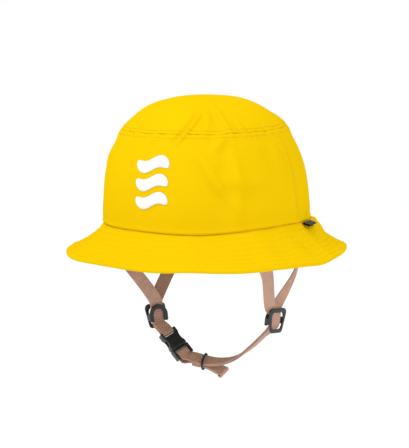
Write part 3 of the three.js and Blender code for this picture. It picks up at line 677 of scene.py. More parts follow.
def make_brim_board():
    """The stiffener between the brim's two cloths, bent as they are."""
    angles = np.linspace(-math.pi, math.pi, 240, endpoint=False)
    shares = np.linspace(0.01, 0.955, 24)
    rows = [(share, 1.0 * MM) for share in shares] + [(share, 2.7 * MM) for share in shares[::-1]]
    points = np.concatenate(
        [brim_point(np.full_like(angles, share), angles, depth) for share, depth in rows]
    )
    rings, count = len(rows), len(angles)
    faces = grid_faces(rings, count, closed=True)
    last = (rings - 1) * count
    faces += [(last + j, last + (j + 1) % count, (j + 1) % count, j) for j in range(count)]
    board = face_outwards(new_object("brim_board", points, faces))
    paint = Paint("brim_board", (0.78, 0.76, 0.68), 0.7)
    paint.shade(paint.noise(80, 3), 0.85, 1.05)
    paint.bump(paint.noise(700, 2), 0.05 * MM, 0.5)
    finish_piece(board, paint.material, nodes=["brim_stiffener"])


def make_brim_stitches():
    turns = np.linspace(-math.pi, math.pi, 1200)
    lift = 0.12 * MM
    rows = []
    for k in range(1, BRIM_ROWS + 1):
        share = np.full_like(turns, k * ROW_SPACING / BRIM_LENGTH)
        rows.append(brim_top(share, turns, lift))
    shares = np.linspace(0.03, 0.97, 120)
    for seam in (LEFT_SEAM, math.pi):
        for side in (-1, 1):
            beside = seam + side * 5.0 * MM / (CROWN_RADIUS * (1 + 0.3 * shares))
            rows.append(brim_top(shares, beside, lift))
    lay_stitches("brim_stitches", rows)
    below = []
    for k in range(1, BRIM_ROWS + 1):
        points = brim_point(np.full_like(turns, k * ROW_SPACING / BRIM_LENGTH), turns, BRIM_STACK)
        row_share = np.full_like(turns, k * ROW_SPACING / BRIM_LENGTH)
        points[:, 2] -= 0.6 * brim_relief(row_share, turns) + 0.05 * MM
        below.append(points)
    lay_stitches("underbrim_stitches", below)


# ---- Emblem: three raised wave bars -----------------------------------------------------
def emblem_paint():
    paint = Paint("emblem", (0.80, 0.805, 0.80), 0.5, Specular_IOR_Level=0.3)
    grain = paint.noise(500, 3)
    paint.shade(paint.noise(70, 3), 0.93, 1.03)
    paint.rough(grain, 0.42, 0.6)
    paint.bump(grain, 0.03 * MM, 0.5)
    return paint.material


def make_emblem():
    paint = emblem_paint()
    shares = np.linspace(-0.5, 0.5, 90)
    sides = np.sin(np.linspace(-math.pi / 2, math.pi / 2, 22))
    for i, place in enumerate(("bottom", "middle", "top")):
        share, side = np.meshgrid(shares, sides)
        half = EMBLEM["half"] * np.maximum(1 - np.abs(2 * share) ** 7, 0) ** 0.5
        middle = EMBLEM["height"] + (i - 1) * EMBLEM["spacing"] + EMBLEM["swing"] * np.sin(TAU * share)
        z = middle + side * half
        x = share * EMBLEM["width"]
        angle = -math.pi / 2 + np.arcsin(x / crown_radius(z))
        pillow = (1 - np.abs(side) ** 3) ** 0.5 * np.maximum(1 - np.abs(2 * share) ** 10, 0) ** 0.5
        raise_by = (0.25 + 2.0 * pillow) * MM
        flat = crown_surface(angle, z, lambda a, h: 0 * a)
        normal = crown_surface(angle, z, lambda a, h: 0 * a + 1.0) - flat
        points = (flat + normal * raise_by[..., None]).reshape(-1, 3)
        bar = thicken(new_object(f"emblem_{place}_raised", points, grid_faces(*share.shape)), 0.5 * MM)
        finish_piece(face_outwards(bar), paint, nodes=[f"emblem_wave_{place}"])


# ---- Side tag: a folded loop of tape in the brim seam ------------------------------------
# In mm and radians; "tape" is its thickness, "clear" its gap off the crown, "sewn" the part in the seam.
TAG = {"reach": 8.6, "length": 28, "turn": 0.183, "facing": 0.157, "tilt": 0.33, "lift": -0.2,
       "loop": 1.15, "tape": 0.55, "clear": 1.2, "sewn": 4}


def make_tag():
    """A tape folded over itself: an outline round the loop, swept along the seam."""
    bend = np.linspace(-math.pi / 2, math.pi / 2, 9)
    reach, loop, tape = TAG["reach"], TAG["loop"], TAG["tape"]
    round_end = [(reach - loop + loop * math.cos(b), loop * math.sin(b)) for b in bend]
    outer = [(0, -loop)] + round_end + [(0, loop)]
    inner = [(0, loop - tape)]
    inner += [(reach - loop + (loop - tape) * math.cos(b), (loop - tape) * math.sin(b)) for b in bend[::-1]]
    inner += [(0, tape - loop)]
    outline = np.array(outer + inner)
    outline[:, 1] *= 1 - 0.45 * np.clip(1 - outline[:, 0] / reach, 0, 1)  # the sewn end is pressed flat
    lengths = np.linspace(-0.5, 0.5, 30) * TAG["length"]
    tilt, facing = TAG["tilt"], TAG["facing"]
    middle = CROWN_RADIUS / MM + TAG["clear"] + TAG["sewn"]
    origin = head_point(middle * MM, np.asarray(TAG["turn"]), np.asarray(0.0)) / MM
    origin = origin + np.array([0, 0, TAG["lift"]])
    points, uv = [], []
    for along in lengths:
        for out, up in outline:
            out, up = out - TAG["sewn"], up + 0.35 * math.sin(along * 0.35) * out / reach
            x = out * math.cos(tilt) + up * math.sin(tilt) - along**2 / 250
            z = -out * math.sin(tilt) + up * math.cos(tilt)
            ahead = x * math.cos(facing) - along * math.sin(facing)
            aside = x * math.sin(facing) + along * math.cos(facing)
            turned = (ahead, aside, z)
            points.append((origin + turned) * MM)
            uv.append((along * MM, out * MM))
    size = len(outline)
    faces = grid_faces(len(lengths), size, closed=True)
    last = (len(lengths) - 1) * size
    faces += [tuple(range(size)), tuple(range(last + size - 1, last - 1, -1))]
    tag = face_outwards(new_object("side_tag_loop", points, faces, smooth=False, uv=uv))
    paint = Paint("tag_tape", (0.004, 0.0045, 0.006), 0.5, Specular_IOR_Level=0.12)
    weave = paint.weave(0.5 * MM, "UV")
    paint.shade(weave, 0.6, 1.6)
    paint.bump(weave, 0.05 * MM, 0.6)
    finish_piece(tag, paint.material, nodes=["side_tag"])


# ---- Webbing ----------------------------------------------------------------------------
# The harness's route repeats the points of the CAD model, in millimetres.
GAP = 0.3
WIDTH, THICK = 15.0, 1.3
LAYER = (THICK + 0.35) / 2
ANCHOR = {"width": 19, "high": -8.6, "low": -27.0, "thick": 2.0, "slot_top": -17.6, "slot_low": -21.4}
ANCHOR_LIFT = -2.6 - 0.8 - ANCHOR["thick"]
ANCHOR_TURNS = {"front": -27, "rear": 46}
SHELL_INSET = 2.0
DIVIDERS = {
    "right": {"side": -1, "centre": (-75, 22.6, -116), "up": (-0.12, 0, 1), "out": (0.84, -0.54, 0)},
    "left": {"side": 1, "centre": (71.5, 22.6, -110), "up": (0.12, 0, 1), "out": (-0.95, 0.31, 0)},
}
PASSES = {
    ("right", "front"): ((-84, -26, -54), (0.22, 0.97, 0.06)),
    ("right", "rear"): ((-77, 62, -62), (0.45, 0.89, 0.06)),
    ("left", "front"): ((84, -22, -54), (0.3, 0.95, 0)),
    ("left", "rear"): ((76.5, 66, -61), (-0.2, 0.98, 0)),
}
FAN = {("right", "front"): 0, ("right", "rear"): 0, ("left", "front"): -9.5, ("left", "rear"): 2}
SPLIT = 9
BUCKLE = {"start": (-63.5, 22.6, -133.5), "along": (0.68, 0, -0.733), "out": (0.6, -0.55, 0.56)}
TWIST = (0.3, 0.78, 0.5)


def unit(direction):
    direction = np.asarray(direction, float)
    return direction / np.linalg.norm(direction)


def moved(at, direction, distance):
    return np.asarray(at, float) + unit(direction) * distance


def along_buckle(distance, lift=0.0):
    return moved(moved(BUCKLE["start"], BUCKLE["along"], distance), BUCKLE["out"], lift)


def rearwards(along, out):
    across = unit(np.cross(along, out))
    return across * np.sign(across[1])


def curve_point(points, share):
    """A centripetal Catmull-Rom curve through the points, share from 0 to 1."""
    points = np.asarray(points, float)
    last = len(points) - 1
    padded = np.vstack([2 * points[0] - points[1], points, 2 * points[-1] - points[-2]])
    first = min(int(share * last), last - 1)
    t = share * last - first
    a, b, c, d = padded[first:first + 4]
    ab, bc, cd = (max(np.linalg.norm(q - p), 1e-6) ** 0.5 for p, q in ((a, b), (b, c), (c, d)))
    leave = ((b - a) / ab - (c - a) / (ab + bc) + (c - b) / bc) * bc
    arrive = ((c - b) / bc - (d - b) / (bc + cd) + (d - c) / cd) * bc
    return b + t * (leave + t * (3 * (c - b) - 2 * leave - arrive + t * (2 * (b - c) + leave + arrive)))


def strap_frames(stations, count, face):
    """Centre, width direction and normal of a layer at evenly spaced shares of its route."""
    points = [station[0] for station in stations]
    rows = []
    for share in np.linspace(0, 1, count):
        along = share * (len(stations) - 1)
        first = min(int(along), len(stations) - 2)
        blend = along - first
        across = np.asarray(stations[first][1]) * (1 - blend) + np.asarray(stations[first + 1][1]) * blend
        apart = stations[first][2] * (1 - blend) + stations[first + 1][2] * blend
        ahead, behind = min(share + 0.002, 1), max(share - 0.002, 0)
        tangent = unit(curve_point(points, ahead) - curve_point(points, behind))
        across = unit(across - tangent * np.dot(across, tangent))
        normal = np.cross(tangent, across)
        rows.append((curve_point(points, share) + normal * face * apart, across, normal))
    return rows


# The webbing's weave: slanting picks in lengthwise ribs, in mm.
PICK_PITCH, PICK_DEPTH, RIB_WIDTH, RIB_SLANT = 2.8, 0.12, 3.75, 1.1


def strap_section(thickness, columns=14):
    """Half-round edges and a faintly ridged face, as (across, out) pairs round the strap."""
    half, edge = WIDTH / 2, thickness / 2
    flat = np.linspace(-half + edge, half - edge, columns)
    ridge = 0.06 * np.cos(flat * TAU / RIB_WIDTH)
    upper = [(a, edge * 0.94 + r) for a, r in zip(flat, ridge)]
    turn = [(half - edge + edge * math.cos(b), edge * math.sin(b)) for b in (0.9, 0.3, -0.3, -0.9)]
    lower = [(a, -edge * 0.94 - r) for a, r in zip(flat[::-1], ridge[::-1])]
    other = [(-a, -out) for a, out in turn]
    return upper + turn + lower + other


def make_strap(name, stations, face, count=150, thickness=THICK):
    section = strap_section(thickness)
    frames = strap_frames(stations, count, face)
    points, uv, run = [], [], 0.0
    for i, (centre, across, normal) in enumerate(frames):
        if i:
            run += np.linalg.norm(centre - frames[i - 1][0])
        for a, out in section:
            slant = abs((a / RIB_WIDTH) % 1 - 0.5) * RIB_SLANT
            rise = PICK_DEPTH * math.sin(TAU * (run / PICK_PITCH + slant))
            points.append((centre + across * a + normal * (out + math.copysign(rise, out))) * MM)
            uv.append((a * MM, run * MM))
    size = len(section)
    faces = grid_faces(count, size, closed=True)
    last = (count - 1) * size
    faces += [tuple(range(size)), tuple(range(last + size - 1, last - 1, -1))]
    return face_outwards(new_object(name, points, faces, uv=uv))


def rim_frame(side, turn, lift):
    """Place, sideways and outward directions of a point on the shell's rim, in mm."""
    r = CROWN_RADIUS / MM - SHELL_INSET + lift
    here, beside = (head_point(r * MM, math.radians(turn) + more, 0.0) / MM for more in (0, 0.01))
    across = unit(beside - here)
    outward = np.array([across[1], -across[0], 0])
    mirror = np.array([side, 1, 1])
    return here * mirror, across * mirror, outward * mirror


def upper_stations(side_name, place):
    """From the anchor's sewn loop, down to the divider and behind its arch."""
    divider = DIVIDERS[side_name]
    centre, up, out, side = (divider[key] for key in ("centre", "up", "out", "side"))
    layer = LAYER * (-side if place == "front" else side)
    here, across, outward = rim_frame(side, ANCHOR_TURNS[place], ANCHOR_LIFT + ANCHOR["thick"] / 2)

    def near_bar(lift, height):
        return moved((here[0], here[1], height), outward, lift)

    stand = ANCHOR["thick"] / 2 + GAP + THICK / 2
    low, slot = ANCHOR["low"] - GAP, ANCHOR["slot_low"]
    flat = unit(np.cross(up, out))
    flat = flat * (1 if np.dot(flat, across) >= 0 else -1)
    fan = FAN[side_name, place]
    entry = moved(moved(centre, up, DIVIDER["height"] / 2 + 1), out, layer * 1.3)
    route = [
        (near_bar(-stand, low - 9), across), (near_bar(-stand, slot - 2), across),
        (near_bar(-stand, slot + 0.6), across), (near_bar(0, slot + GAP + THICK + 0.4), across),
        (near_bar(stand, slot + 0.6), across), (near_bar(stand, low - 3), across),
        PASSES[side_name, place],
        (moved(entry, flat, fan), flat),
        (moved(moved(moved(centre, up, SPLIT + 3), out, layer), flat, 0.4 * fan), flat),
        (moved(moved(moved(centre, up, SPLIT + GAP), out, layer), flat, 0.15 * fan), flat),
    ]
    return [(at, across, 0.0) for at, across in route]


def right_lower_stations():
    centre, up, out = (DIVIDERS["right"][key] for key in ("centre", "up", "out"))
    flat = rearwards(up, out)
    across = rearwards(BUCKLE["along"], BUCKLE["out"])
    over, bar = 2.45 + 0.2, SOCKET["bar"]
    return [
        (moved(centre, up, SPLIT - GAP), flat, LAYER),
        (moved(centre, up, -5), flat, LAYER),
        (moved(moved(centre, up, -9.5), out, 2.6), flat, LAYER),
        (along_buckle(-4), across, over * 0.7),
        (along_buckle(bar / 2), across, over),
        (along_buckle(bar + 1), across, over * 0.95),
        (along_buckle(bar + 2.4), across, LAYER * 1.4),
    ]


def chin_stations():
    centre, up, out = (DIVIDERS["left"][key] for key in ("centre", "up", "out"))
    flat = rearwards(up, out)
    across = rearwards(BUCKLE["along"], BUCKLE["out"])
    over = PLUG["bar_height"] / 2 + GAP + THICK / 2 + 0.3
    first = PLUG["start"] + PLUG["shoulder"]
    last = first + 1.5 * PLUG["bar"] + 2 * PLUG["slot"]
    return [
        (along_buckle(first + 0.8), across, LAYER * 1.4),
        (along_buckle(first + 2.6), across, over),
        (along_buckle(last - 2), across, over),
        (along_buckle(last + 2), across, over + 1),
        ((-29, 22.6, -160.6), TWIST, LAYER * 1.6),
        ((-15.5, 22.6, -162.6), TWIST, LAYER),
        ((0, 22.6, -162.8), (0.15, 0.87, 0.35), LAYER),
        ((15, 22.6, -160), (0.1, 0.93, 0.28), LAYER),
        ((28, 22.6, -154), (0, 0.97, 0.2), LAYER),
        ((43, 22.6, -142.5), (0, 1, 0), LAYER),
        ((57, 22.6, -129.5), (0, 1, 0), LAYER),
        (moved(moved(centre, up, -9.5), out, 2.6), flat, LAYER),
        (moved(centre, up, -5), flat, LAYER),
        (moved(centre, up, SPLIT - GAP), flat, LAYER),
    ]


TAIL_THICK = 2 * THICK
TAIL_DROP = 0.45  # keeps the tail clear of the main strap as it slides
TAIL_DEPTH = LAYER + THICK / 2 + GAP + TAIL_THICK / 2


def tail_stations():
    depths = (LAYER * 0.7, 0.3, 0, 0.4, 0.8, 0.8)
    places = ((-28, -161), (-21, -162), (-15.5, -162.6), (-9, -163.6), (0, -166.5), (7, -169.2))
    easing = (0.2, 0.84, 0.4)  # past the keeper it turns level with the main strap
    turns = (TWIST, TWIST, TWIST, easing, easing, easing)
    rows = zip(places, turns, depths)
    return [((x, 22.6, z), across, TAIL_DEPTH + TAIL_DROP + depth) for (x, z), across, depth in rows]


WEBBING_COLOUR = (0.57, 0.345, 0.255)


def webbing_paint():
    """Narrow woven tape: diagonal picks in four ribs, fine warp threads and slight fading, with painted
    shade in the weave's grooves.
    """
    finish = {"Sheen_Weight": 0.12, "Sheen_Roughness": 0.5, "Specular_IOR_Level": 0.15}
    paint = Paint("webbing", WEBBING_COLOUR, 0.8, **finish)
    across, along = paint.node("ShaderNodeSeparateXYZ", {"Vector": paint.place("UV")}).outputs[:2]
    rib = paint.maths("FRACT", paint.maths("DIVIDE", across, RIB_WIDTH * MM))
    side = paint.maths("ABSOLUTE", paint.maths("SUBTRACT", rib, 0.5))
    leaning = paint.maths("MULTIPLY", side, RIB_SLANT)
    slant = paint.maths("ADD", leaning, paint.maths("DIVIDE", along, PICK_PITCH * MM))
    picks = paint.maths("SINE", paint.maths("MULTIPLY", slant, TAU))
    threads = paint.maths("SINE", paint.maths("MULTIPLY", across, TAU / (0.62 * MM)))
    height = paint.spread(paint.maths("ADD", picks, paint.maths("MULTIPLY", threads, 0.4)), 0.0, 0.8)
    fade = paint.noise(60, 3)
    # Colour follows the weave's height: painted shade in its grooves and lighter raised picks; the noise
    # adds real fading.
    tone = paint.maths("ADD", paint.maths("MULTIPLY", height, 0.65), paint.maths("MULTIPLY", fade, 0.35))
    paint.shade(tone, 0.5, 1.5)
    paint.bump(height, 0.25 * MM, 0.9)
    paint.bump(paint.noise(1500, 2), 0.05 * MM, 0.4)
    return paint.material


def plastic_paint(name, colour, roughness):
    paint = Paint(name, colour, roughness, Specular_IOR_Level=0.5)
    grain = paint.noise(2600, 2)
    wear = paint.noise(90, 4)
    paint.shade(wear, 0.8, 1.5)
    paint.rough(wear, roughness - 0.06, roughness + 0.1)
    paint.bump(grain, 0.012 * MM, 0.35)
    return paint.material


WEBBING = webbing_paint()
BLACK = plastic_paint("black_plastic", (0.012, 0.016, 0.017), 0.36)
RUBBER = plastic_paint("black_rubber", (0.010, 0.011, 0.012), 0.6)


# ---- Moulded plastic ----------------------------------------------------------------------
DIVIDER = {"width": 26, "height": 28, "foot": 12, "bar": 4.2, "plate": 2, "clear": 2.4}
ARCH = {"outer": 11.6, "inner": 6.6, "drop": -5.5, "rise": 1}
SOCKET = {"length": 23, "width": 21, "waist": 18, "height": 8.4, "bar": 2.2, "slot": 3.8}
WINDOW = (9.5, 16.5)
PLUG = {"start": 23.4, "shoulder": 2.4, "bar": 2, "slot": 3, "width": 22, "opening": 17.4, "height": 7.6,
        "bar_height": 2.4}
PRONG = {"inner": 4.9, "outer": 7.9, "tip": 10.4, "half": 1.9}
TONGUE = {"half": 1.4, "tip": 12}


def arc(x, y, radius, start, end, count=14):
    return [(x + radius * math.cos(a), y + radius * math.sin(a)) for a in np.linspace(start, end, count)]


def bend(a, b, c, count=10):
    """A quadratic curve from a to c, pulled towards b."""
    a, b, c = (np.asarray(p, float) for p in (a, b, c))
    return [tuple((1 - t) ** 2 * a + 2 * t * (1 - t) * b + t * t * c) for t in np.linspace(0, 1, count)]


def rounded(width, low, high, radius, x=0.0):
    half = width / 2
    corners = [(x + half - radius, low + radius, -90), (x + half - radius, high - radius, 0),
               (x - half + radius, high - radius, 90), (x - half + radius, low + radius, 180)]
    outline = []
    for cx, cy, start in corners:
        outline += arc(cx, cy, radius, math.radians(start), math.radians(start + 90), 7)
    return outline


def moulded(name, outlines, low, high, edge=0.45):
    """A plate between two heights with its outlines' edges rounded; later outlines are holes."""
    curve = bpy.data.curves.new(name, "CURVE")
    curve.dimensions, curve.fill_mode = "2D", "BOTH"
    for outline in outlines:
        spline = curve.splines.new("POLY")
        spline.points.add(len(outline) - 1)
        for point, (x, y) in zip(spline.points, outline):
            point.co = (x, y, 0, 1)
        spline.use_cyclic_u = True
    curve.extrude = max((high - low) / 2 - edge, 0)
    curve.bevel_depth, curve.bevel_resolution, curve.offset = edge, 2, -edge
    source = bpy.data.objects.new(name, curve)
    bpy.context.scene.collection.objects.link(source)
    graph = bpy.context.evaluated_depsgraph_get()
    mesh = bpy.data.meshes.new_from_object(source.evaluated_get(graph))
    bpy.data.objects.remove(source)
    bpy.data.curves.remove(curve)
    mesh.transform(Matrix.Translation((0, 0, (low + high) / 2)))
    item = bpy.data.objects.new(name, mesh)
    bpy.context.scene.collection.objects.link(item)
    shape = bmesh.new()
    shape.from_mesh(mesh)
    bmesh.ops.remove_doubles(shape, verts=shape.verts, dist=0.002)
    shape.to_mesh(mesh)
    shape.free()
    return item


def block(name, low, high, edge=0.4):
    """A small box with rounded edges, for bars and posts."""
    shape = bmesh.new()
    bmesh.ops.create_cube(shape, size=1)
    size = np.array(high, float) - np.array(low, float)
    middle = (np.array(high, float) + np.array(low, float)) / 2
    bmesh.ops.scale(shape, vec=size, verts=shape.verts)
    bmesh.ops.translate(shape, vec=middle, verts=shape.verts)
    offset = min(edge, size.min() * 0.45)
    bmesh.ops.bevel(shape, geom=list(shape.edges), offset=offset, segments=3, affect="EDGES")
    mesh = bpy.data.meshes.new(name)
    shape.to_mesh(mesh)
    shape.free()
    item = bpy.data.objects.new(name, mesh)
    bpy.context.scene.collection.objects.link(item)
    return item


def lathe(name, profile, count=40):
    """A closed turned solid round z from (radius, height) pairs."""
    turns = np.arange(count) * TAU / count
    points = [(r * math.cos(a), r * math.sin(a), z) for r, z in profile for a in turns]
    faces = grid_faces(len(profile), count, closed=True)
    last = (len(profile) - 1) * count
    faces += [tuple(reversed(range(count))), tuple(range(last, last + count))]
    return face_outwards(new_object(name, points, faces))


def put_in_place(item, origin, along, out):
    """Local x across, y along and z outwards, in mm, to the row frame in metres."""
    y = Vector(along).normalized()
    x = y.cross(Vector(out)).normalized()
    z = x.cross(y)
    turn = Matrix((x, y, z)).transposed().to_4x4()
    item.data.transform(Matrix.Scale(MM, 4) @ Matrix.Translation(Vector(origin)) @ turn)
    for polygon in item.data.polygons:
        polygon.use_smooth = True
    item.data.set_sharp_from_angle(angle=math.radians(38))
    return item


def shield(inset):
    top, low = DIVIDER["height"] / 2 - inset, -DIVIDER["height"] / 2 + inset
    wide, foot = DIVIDER["width"] / 2 - inset, DIVIDER["foot"] / 2 - inset / 2
    right = bend((foot, low), (foot + 3, low), (foot + 4, low + 5))
    right += bend((wide, top - 6), (wide, top), (wide - 6, top))
    return right + [(-x, y) for x, y in right[::-1]]


def make_divider(side_name):
    """A shield-shaped frame with a rounded arch standing off its face on two posts."""
    centre, up, out = (DIVIDERS[side_name][key] for key in ("centre", "up", "out"))
    clear, thick = DIVIDER["clear"], DIVIDER["plate"]
    name = f"{side_name}_divider_moulding"
    outer, inner, drop, rise = (ARCH[key] for key in ("outer", "inner", "drop", "rise"))
    arch = [(outer, drop)] + arc(0, rise, outer, 0, math.pi, 40) + [(-outer, drop)]
    arch += bend((-outer, drop), ((-outer - inner) / 2, drop - 2.2), (-inner, drop), 8)[1:]
    arch += arc(0, rise, inner, math.pi, 0, 34)
    arch += bend((inner, drop), ((outer + inner) / 2, drop - 2.2), (outer, drop), 8)[:-1]
    parts = [moulded(name, [shield(0), shield(DIVIDER["bar"])], -clear - thick, -clear, 0.6)]
    parts.append(moulded("arch", [arch], clear, clear + thick, 0.8))
    post = outer - WIDTH / 2 - 3 * GAP
    reach = clear + 0.6 * thick
    for side in (-1, 1):
        edges = sorted((side * outer, side * (outer - post)))
        parts.append(block("post", (edges[0], drop + 1, -reach), (edges[1], rise + 2, reach), 0.7))
    divider = put_in_place(join(name, parts), centre, up, out)
    finish_piece(divider, BLACK, body=f"{side_name}_divider", nodes=[f"{side_name}_divider"])


def carve(item, cuts):
    """Takes blocks away from a solid."""
    for cut in cuts:
        made = item.modifiers.new("cut", "BOOLEAN")
        made.operation, made.object, made.solver = "DIFFERENCE", cut, "EXACT"
    apply_modifiers(item)
    for cut in cuts:
        bpy.data.objects.remove(cut)
    return item


def make_socket():
    length, half, height = SOCKET["length"], SOCKET["width"] / 2, SOCKET["height"]
    bar, slot, waist = SOCKET["bar"], SOCKET["slot"], SOCKET["waist"] / 2
    middle = sum(WINDOW) / 2
    right = bend((half - 1.5, 0), (half, 0), (half, 1.5), 6)
    right += bend((half, bar + slot + 1), (waist, WINDOW[0]), (waist, middle))
    right += bend((waist, middle), (waist, WINDOW[1]), (half, length - 4))[1:]
    right += bend((half, length - 0.8), (half, length), (half - 0.8, length), 5)
    outline = right + [(-x, y) for x, y in right[::-1]]
    outlines = [outline, rounded(WIDTH + 1, bar, bar + slot, 0.8)]
    body = moulded("buckle_socket_moulding", outlines, -height / 2, height / 2, 0.9)
    lift = (height - 3) / 2
    cuts = [
        block("mouth", (-8.3, bar + slot + 1.1, -2.3), (8.3, length + 2, 2.3), 0.4),
        block("windows", (-20, WINDOW[0], -2.3), (20, WINDOW[1], 2.3), 0.8),
        block("top_recess", (-8.4, -3, height / 2 - lift), (8.4, bar + slot - 1, height), 0.5),
        block("low_recess", (-8.4, -3, -height), (8.4, bar + slot - 1, -height / 2 + lift), 0.5),
        block("panel_groove", (-5.6, 18.2, height / 2 - 0.35), (5.6, 18.9, height), 0.1),
        block("panel_groove_2", (-5.6, 19.9, height / 2 - 0.35), (5.6, 20.6, height), 0.1),
    ]
    socket = put_in_place(carve(body, cuts), BUCKLE["start"], BUCKLE["along"], BUCKLE["out"])
    finish_piece(socket, BLACK, nodes=["buckle_socket"])


def make_plug():
    """Two deep ribbed rails joined by the shoulder and two round bars, with a tongue."""
    start, shoulder, bar, slot = (PLUG[key] for key in ("start", "shoulder", "bar", "slot"))
    half, inside, height = PLUG["width"] / 2, PLUG["opening"] / 2, PLUG["height"] / 2
    end = start + shoulder + 2 * (slot + bar)
    low_bar = PLUG["bar_height"] / 2
    base = [rounded(PLUG["width"], start, start + shoulder, 0.9)]
    parts = [moulded("buckle_plug_moulding", base, -height, height, 0.6)]
    for side in (-1, 1):
        edges = sorted((side * half, side * inside))
        rail = [rounded(half - inside, start, end, 0.7, side * (half + inside) / 2)]
        parts.append(moulded("rail", rail, -height, height, 0.5))
        for k in range(4):
            y = start + 2.6 + 2.6 * k
            low, high = (edges[0] - 0.25, y, -height + 0.9), (edges[1] + 0.25, y + 1.2, height - 0.9)
            parts.append(block("rib", low, high, 0.3))
    for k in (1, 2):
        y = start + shoulder + k * slot + (k - 1) * bar
        parts.append(block("bar", (-inside - 0.5, y, -low_bar), (inside + 0.5, y + bar, low_bar), 0.9))
    tongue = TONGUE["half"]
    parts.append(block("tongue", (-tongue, TONGUE["tip"], -tongue), (tongue, start + 1, tongue), 0.5))
    plug = put_in_place(join("buckle_plug_moulding", parts), BUCKLE["start"], BUCKLE["along"], BUCKLE["out"])
    finish_piece(plug, BLACK, body="plug", nodes=["buckle_plug"])


def make_prongs():
    inner, outer, tip, half = (PRONG[key] for key in ("inner", "outer", "tip", "half"))
    root = PLUG["start"] - GAP
    outline = [(inner, root), (outer - 0.6, root), (outer - 1, WINDOW[1] + 0.6), (outer, WINDOW[1] - 0.6)]
    outline += bend((outer, WINDOW[1] - 1), (outer, tip + 1), (inner + 1.6, tip))
    outline += bend((inner + 1.6, tip), (inner, tip), (inner + 0.4, tip + 3))[1:]
    for side, place in ((1, "front"), (-1, "rear")):
        mirrored = [(side * x, y) for x, y in outline][::side]
        parts = [moulded(f"{place}_prong_moulding", [mirrored], -half, half, 0.4)]
        for k in range(3):
            y = 11.8 + 1.4 * k
            edges = sorted((side * (outer - 0.6), side * (outer + 0.05)))
            parts.append(block("grip", (edges[0], y, -half + 0.4), (edges[1], y + 0.7, half - 0.4), 0.2))
        prong = join(f"{place}_prong_moulding", parts)
        prong = put_in_place(prong, BUCKLE["start"], BUCKLE["along"], BUCKLE["out"])
        finish_piece(prong, BLACK, body=f"{place}_prong", nodes=[f"{place}_prong"])


def make_keeper():
    """A skewed band round the main strap and the tail, squared to their section."""
    tube, width, depth, corner, skew = 1.0, WIDTH + 5, 10.8, 0.62, 0.16
    square = lambda value: math.copysign(abs(value) ** corner, value)
    points, rings, sides = [], 72, 12
    for angle in np.arange(rings) * TAU / rings:
        c, s = math.cos(angle), math.sin(angle)
        for turn in np.arange(sides) * TAU / sides:
            thick, along = 0.75 * tube * math.cos(turn), 1.25 * tube * math.sin(turn)
            x = square(c) * width / 2 + thick * c
            points.append((x, along + skew * x, square(s) * depth / 2 + thick * s))
    faces = grid_faces(rings, sides, closed=True)
    last = (rings - 1) * sides
    faces += [(last + j, last + (j + 1) % sides, (j + 1) % sides, j) for j in range(sides)]
    along = (1, 0, -0.08)
    out = np.cross(along, TWIST)
    at = moved((-15.5, 22.6, -162.6), out, -TAIL_THICK / 2 - 0.3)
    band = put_in_place(face_outwards(new_object("keeper_band", points, faces)), at, along, out)
    finish_piece(band, RUBBER, body="keeper", nodes=["keeper_ring"])


def make_anchors():
    """A slotted plate and a rivet inside the shell's rim for each upper strap."""
    high, low, thick = ANCHOR["high"], ANCHOR["low"], ANCHOR["thick"]
    rivet_height, shank, head, cap = -12.5, 2, 3.2, 1
    outlines = [
        rounded(ANCHOR["width"], low, high, 2.5),
        rounded(WIDTH + 1, ANCHOR["slot_low"], ANCHOR["slot_top"], 0.8),
        arc(0, rivet_height, shank + GAP, 0, TAU, 25)[:-1],
    ]
    outside = thick + 0.8 + 2.6 + 2 * GAP
    profile = [
        (0.01, -GAP - cap),
        (head * 0.55, -GAP - cap),
        (head * 0.9, -GAP - 0.7 * cap),
        (head, -GAP - 0.3 * cap),
        (head, -GAP),
        (shank, -GAP),
        (shank, outside),
        (head, outside),
        (head * 0.7, outside + cap),
        (0.01, outside + cap),
    ]
    for side_name, divider in DIVIDERS.items():
        for place, turn in ANCHOR_TURNS.items():
            here, _, outward = rim_frame(divider["side"], turn, ANCHOR_LIFT)
            at = (here[0], here[1], 0)
            plate = moulded(f"{side_name}_{place}_anchor_moulding", outlines, 0, thick, 0.4)
            put_in_place(plate, at, (0, 0, 1), outward)
            finish_piece(plate, BLACK, nodes=[f"{side_name}_{place}_anchor"])
            rivet = lathe(f"{side_name}_{place}_rivet_turned", profile)
            put_in_place(rivet, (here[0], here[1], rivet_height), (0, 0, 1), outward)
            finish_piece(rivet, STEEL, nodes=[f"{side_name}_{place}_rivet"])


def metal_paint():
    paint = Paint("rivet_steel", (0.55, 0.55, 0.56), 0.32, Metallic=1.0)
    wear = paint.noise(900, 3)
    paint.shade(wear, 0.7, 1.15)
    paint.rough(wear, 0.25, 0.5)
    paint.bump(wear, 0.02 * MM, 0.5)
    return paint.material


STEEL = metal_paint()


def make_harness_straps():
    for side_name in DIVIDERS:
        for place in ANCHOR_TURNS:
            node = f"{side_name}_{place}_webbing"
            strap = make_strap(f"{node}_woven", upper_stations(side_name, place), 0, count=230)
            finish_piece(strap, WEBBING, nodes=[node])
    for layer, face in (("inner", 1), ("outer", -1)):
        node = f"right_lower_webbing_{layer}"
        strap = make_strap(f"{node}_woven", right_lower_stations(), face, count=90)
        finish_piece(strap, WEBBING, nodes=[node])
    for layer, face in (("upper", 1), ("lower", -1)):
        node = f"chin_webbing_{layer}"
        strap = make_strap(f"{node}_woven", chin_stations(), face, count=250)
        finish_piece(strap, WEBBING, body=None, nodes=[node])
        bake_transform(strap)


# The tail's end winds round itself a little over one and a half turns.
ROLL = {"ahead": 1.6, "below": 1.0, "turns": 1.6, "steps": 45,
        "radius": 2.75, "tightening": 1.25, "thick": 1.1}


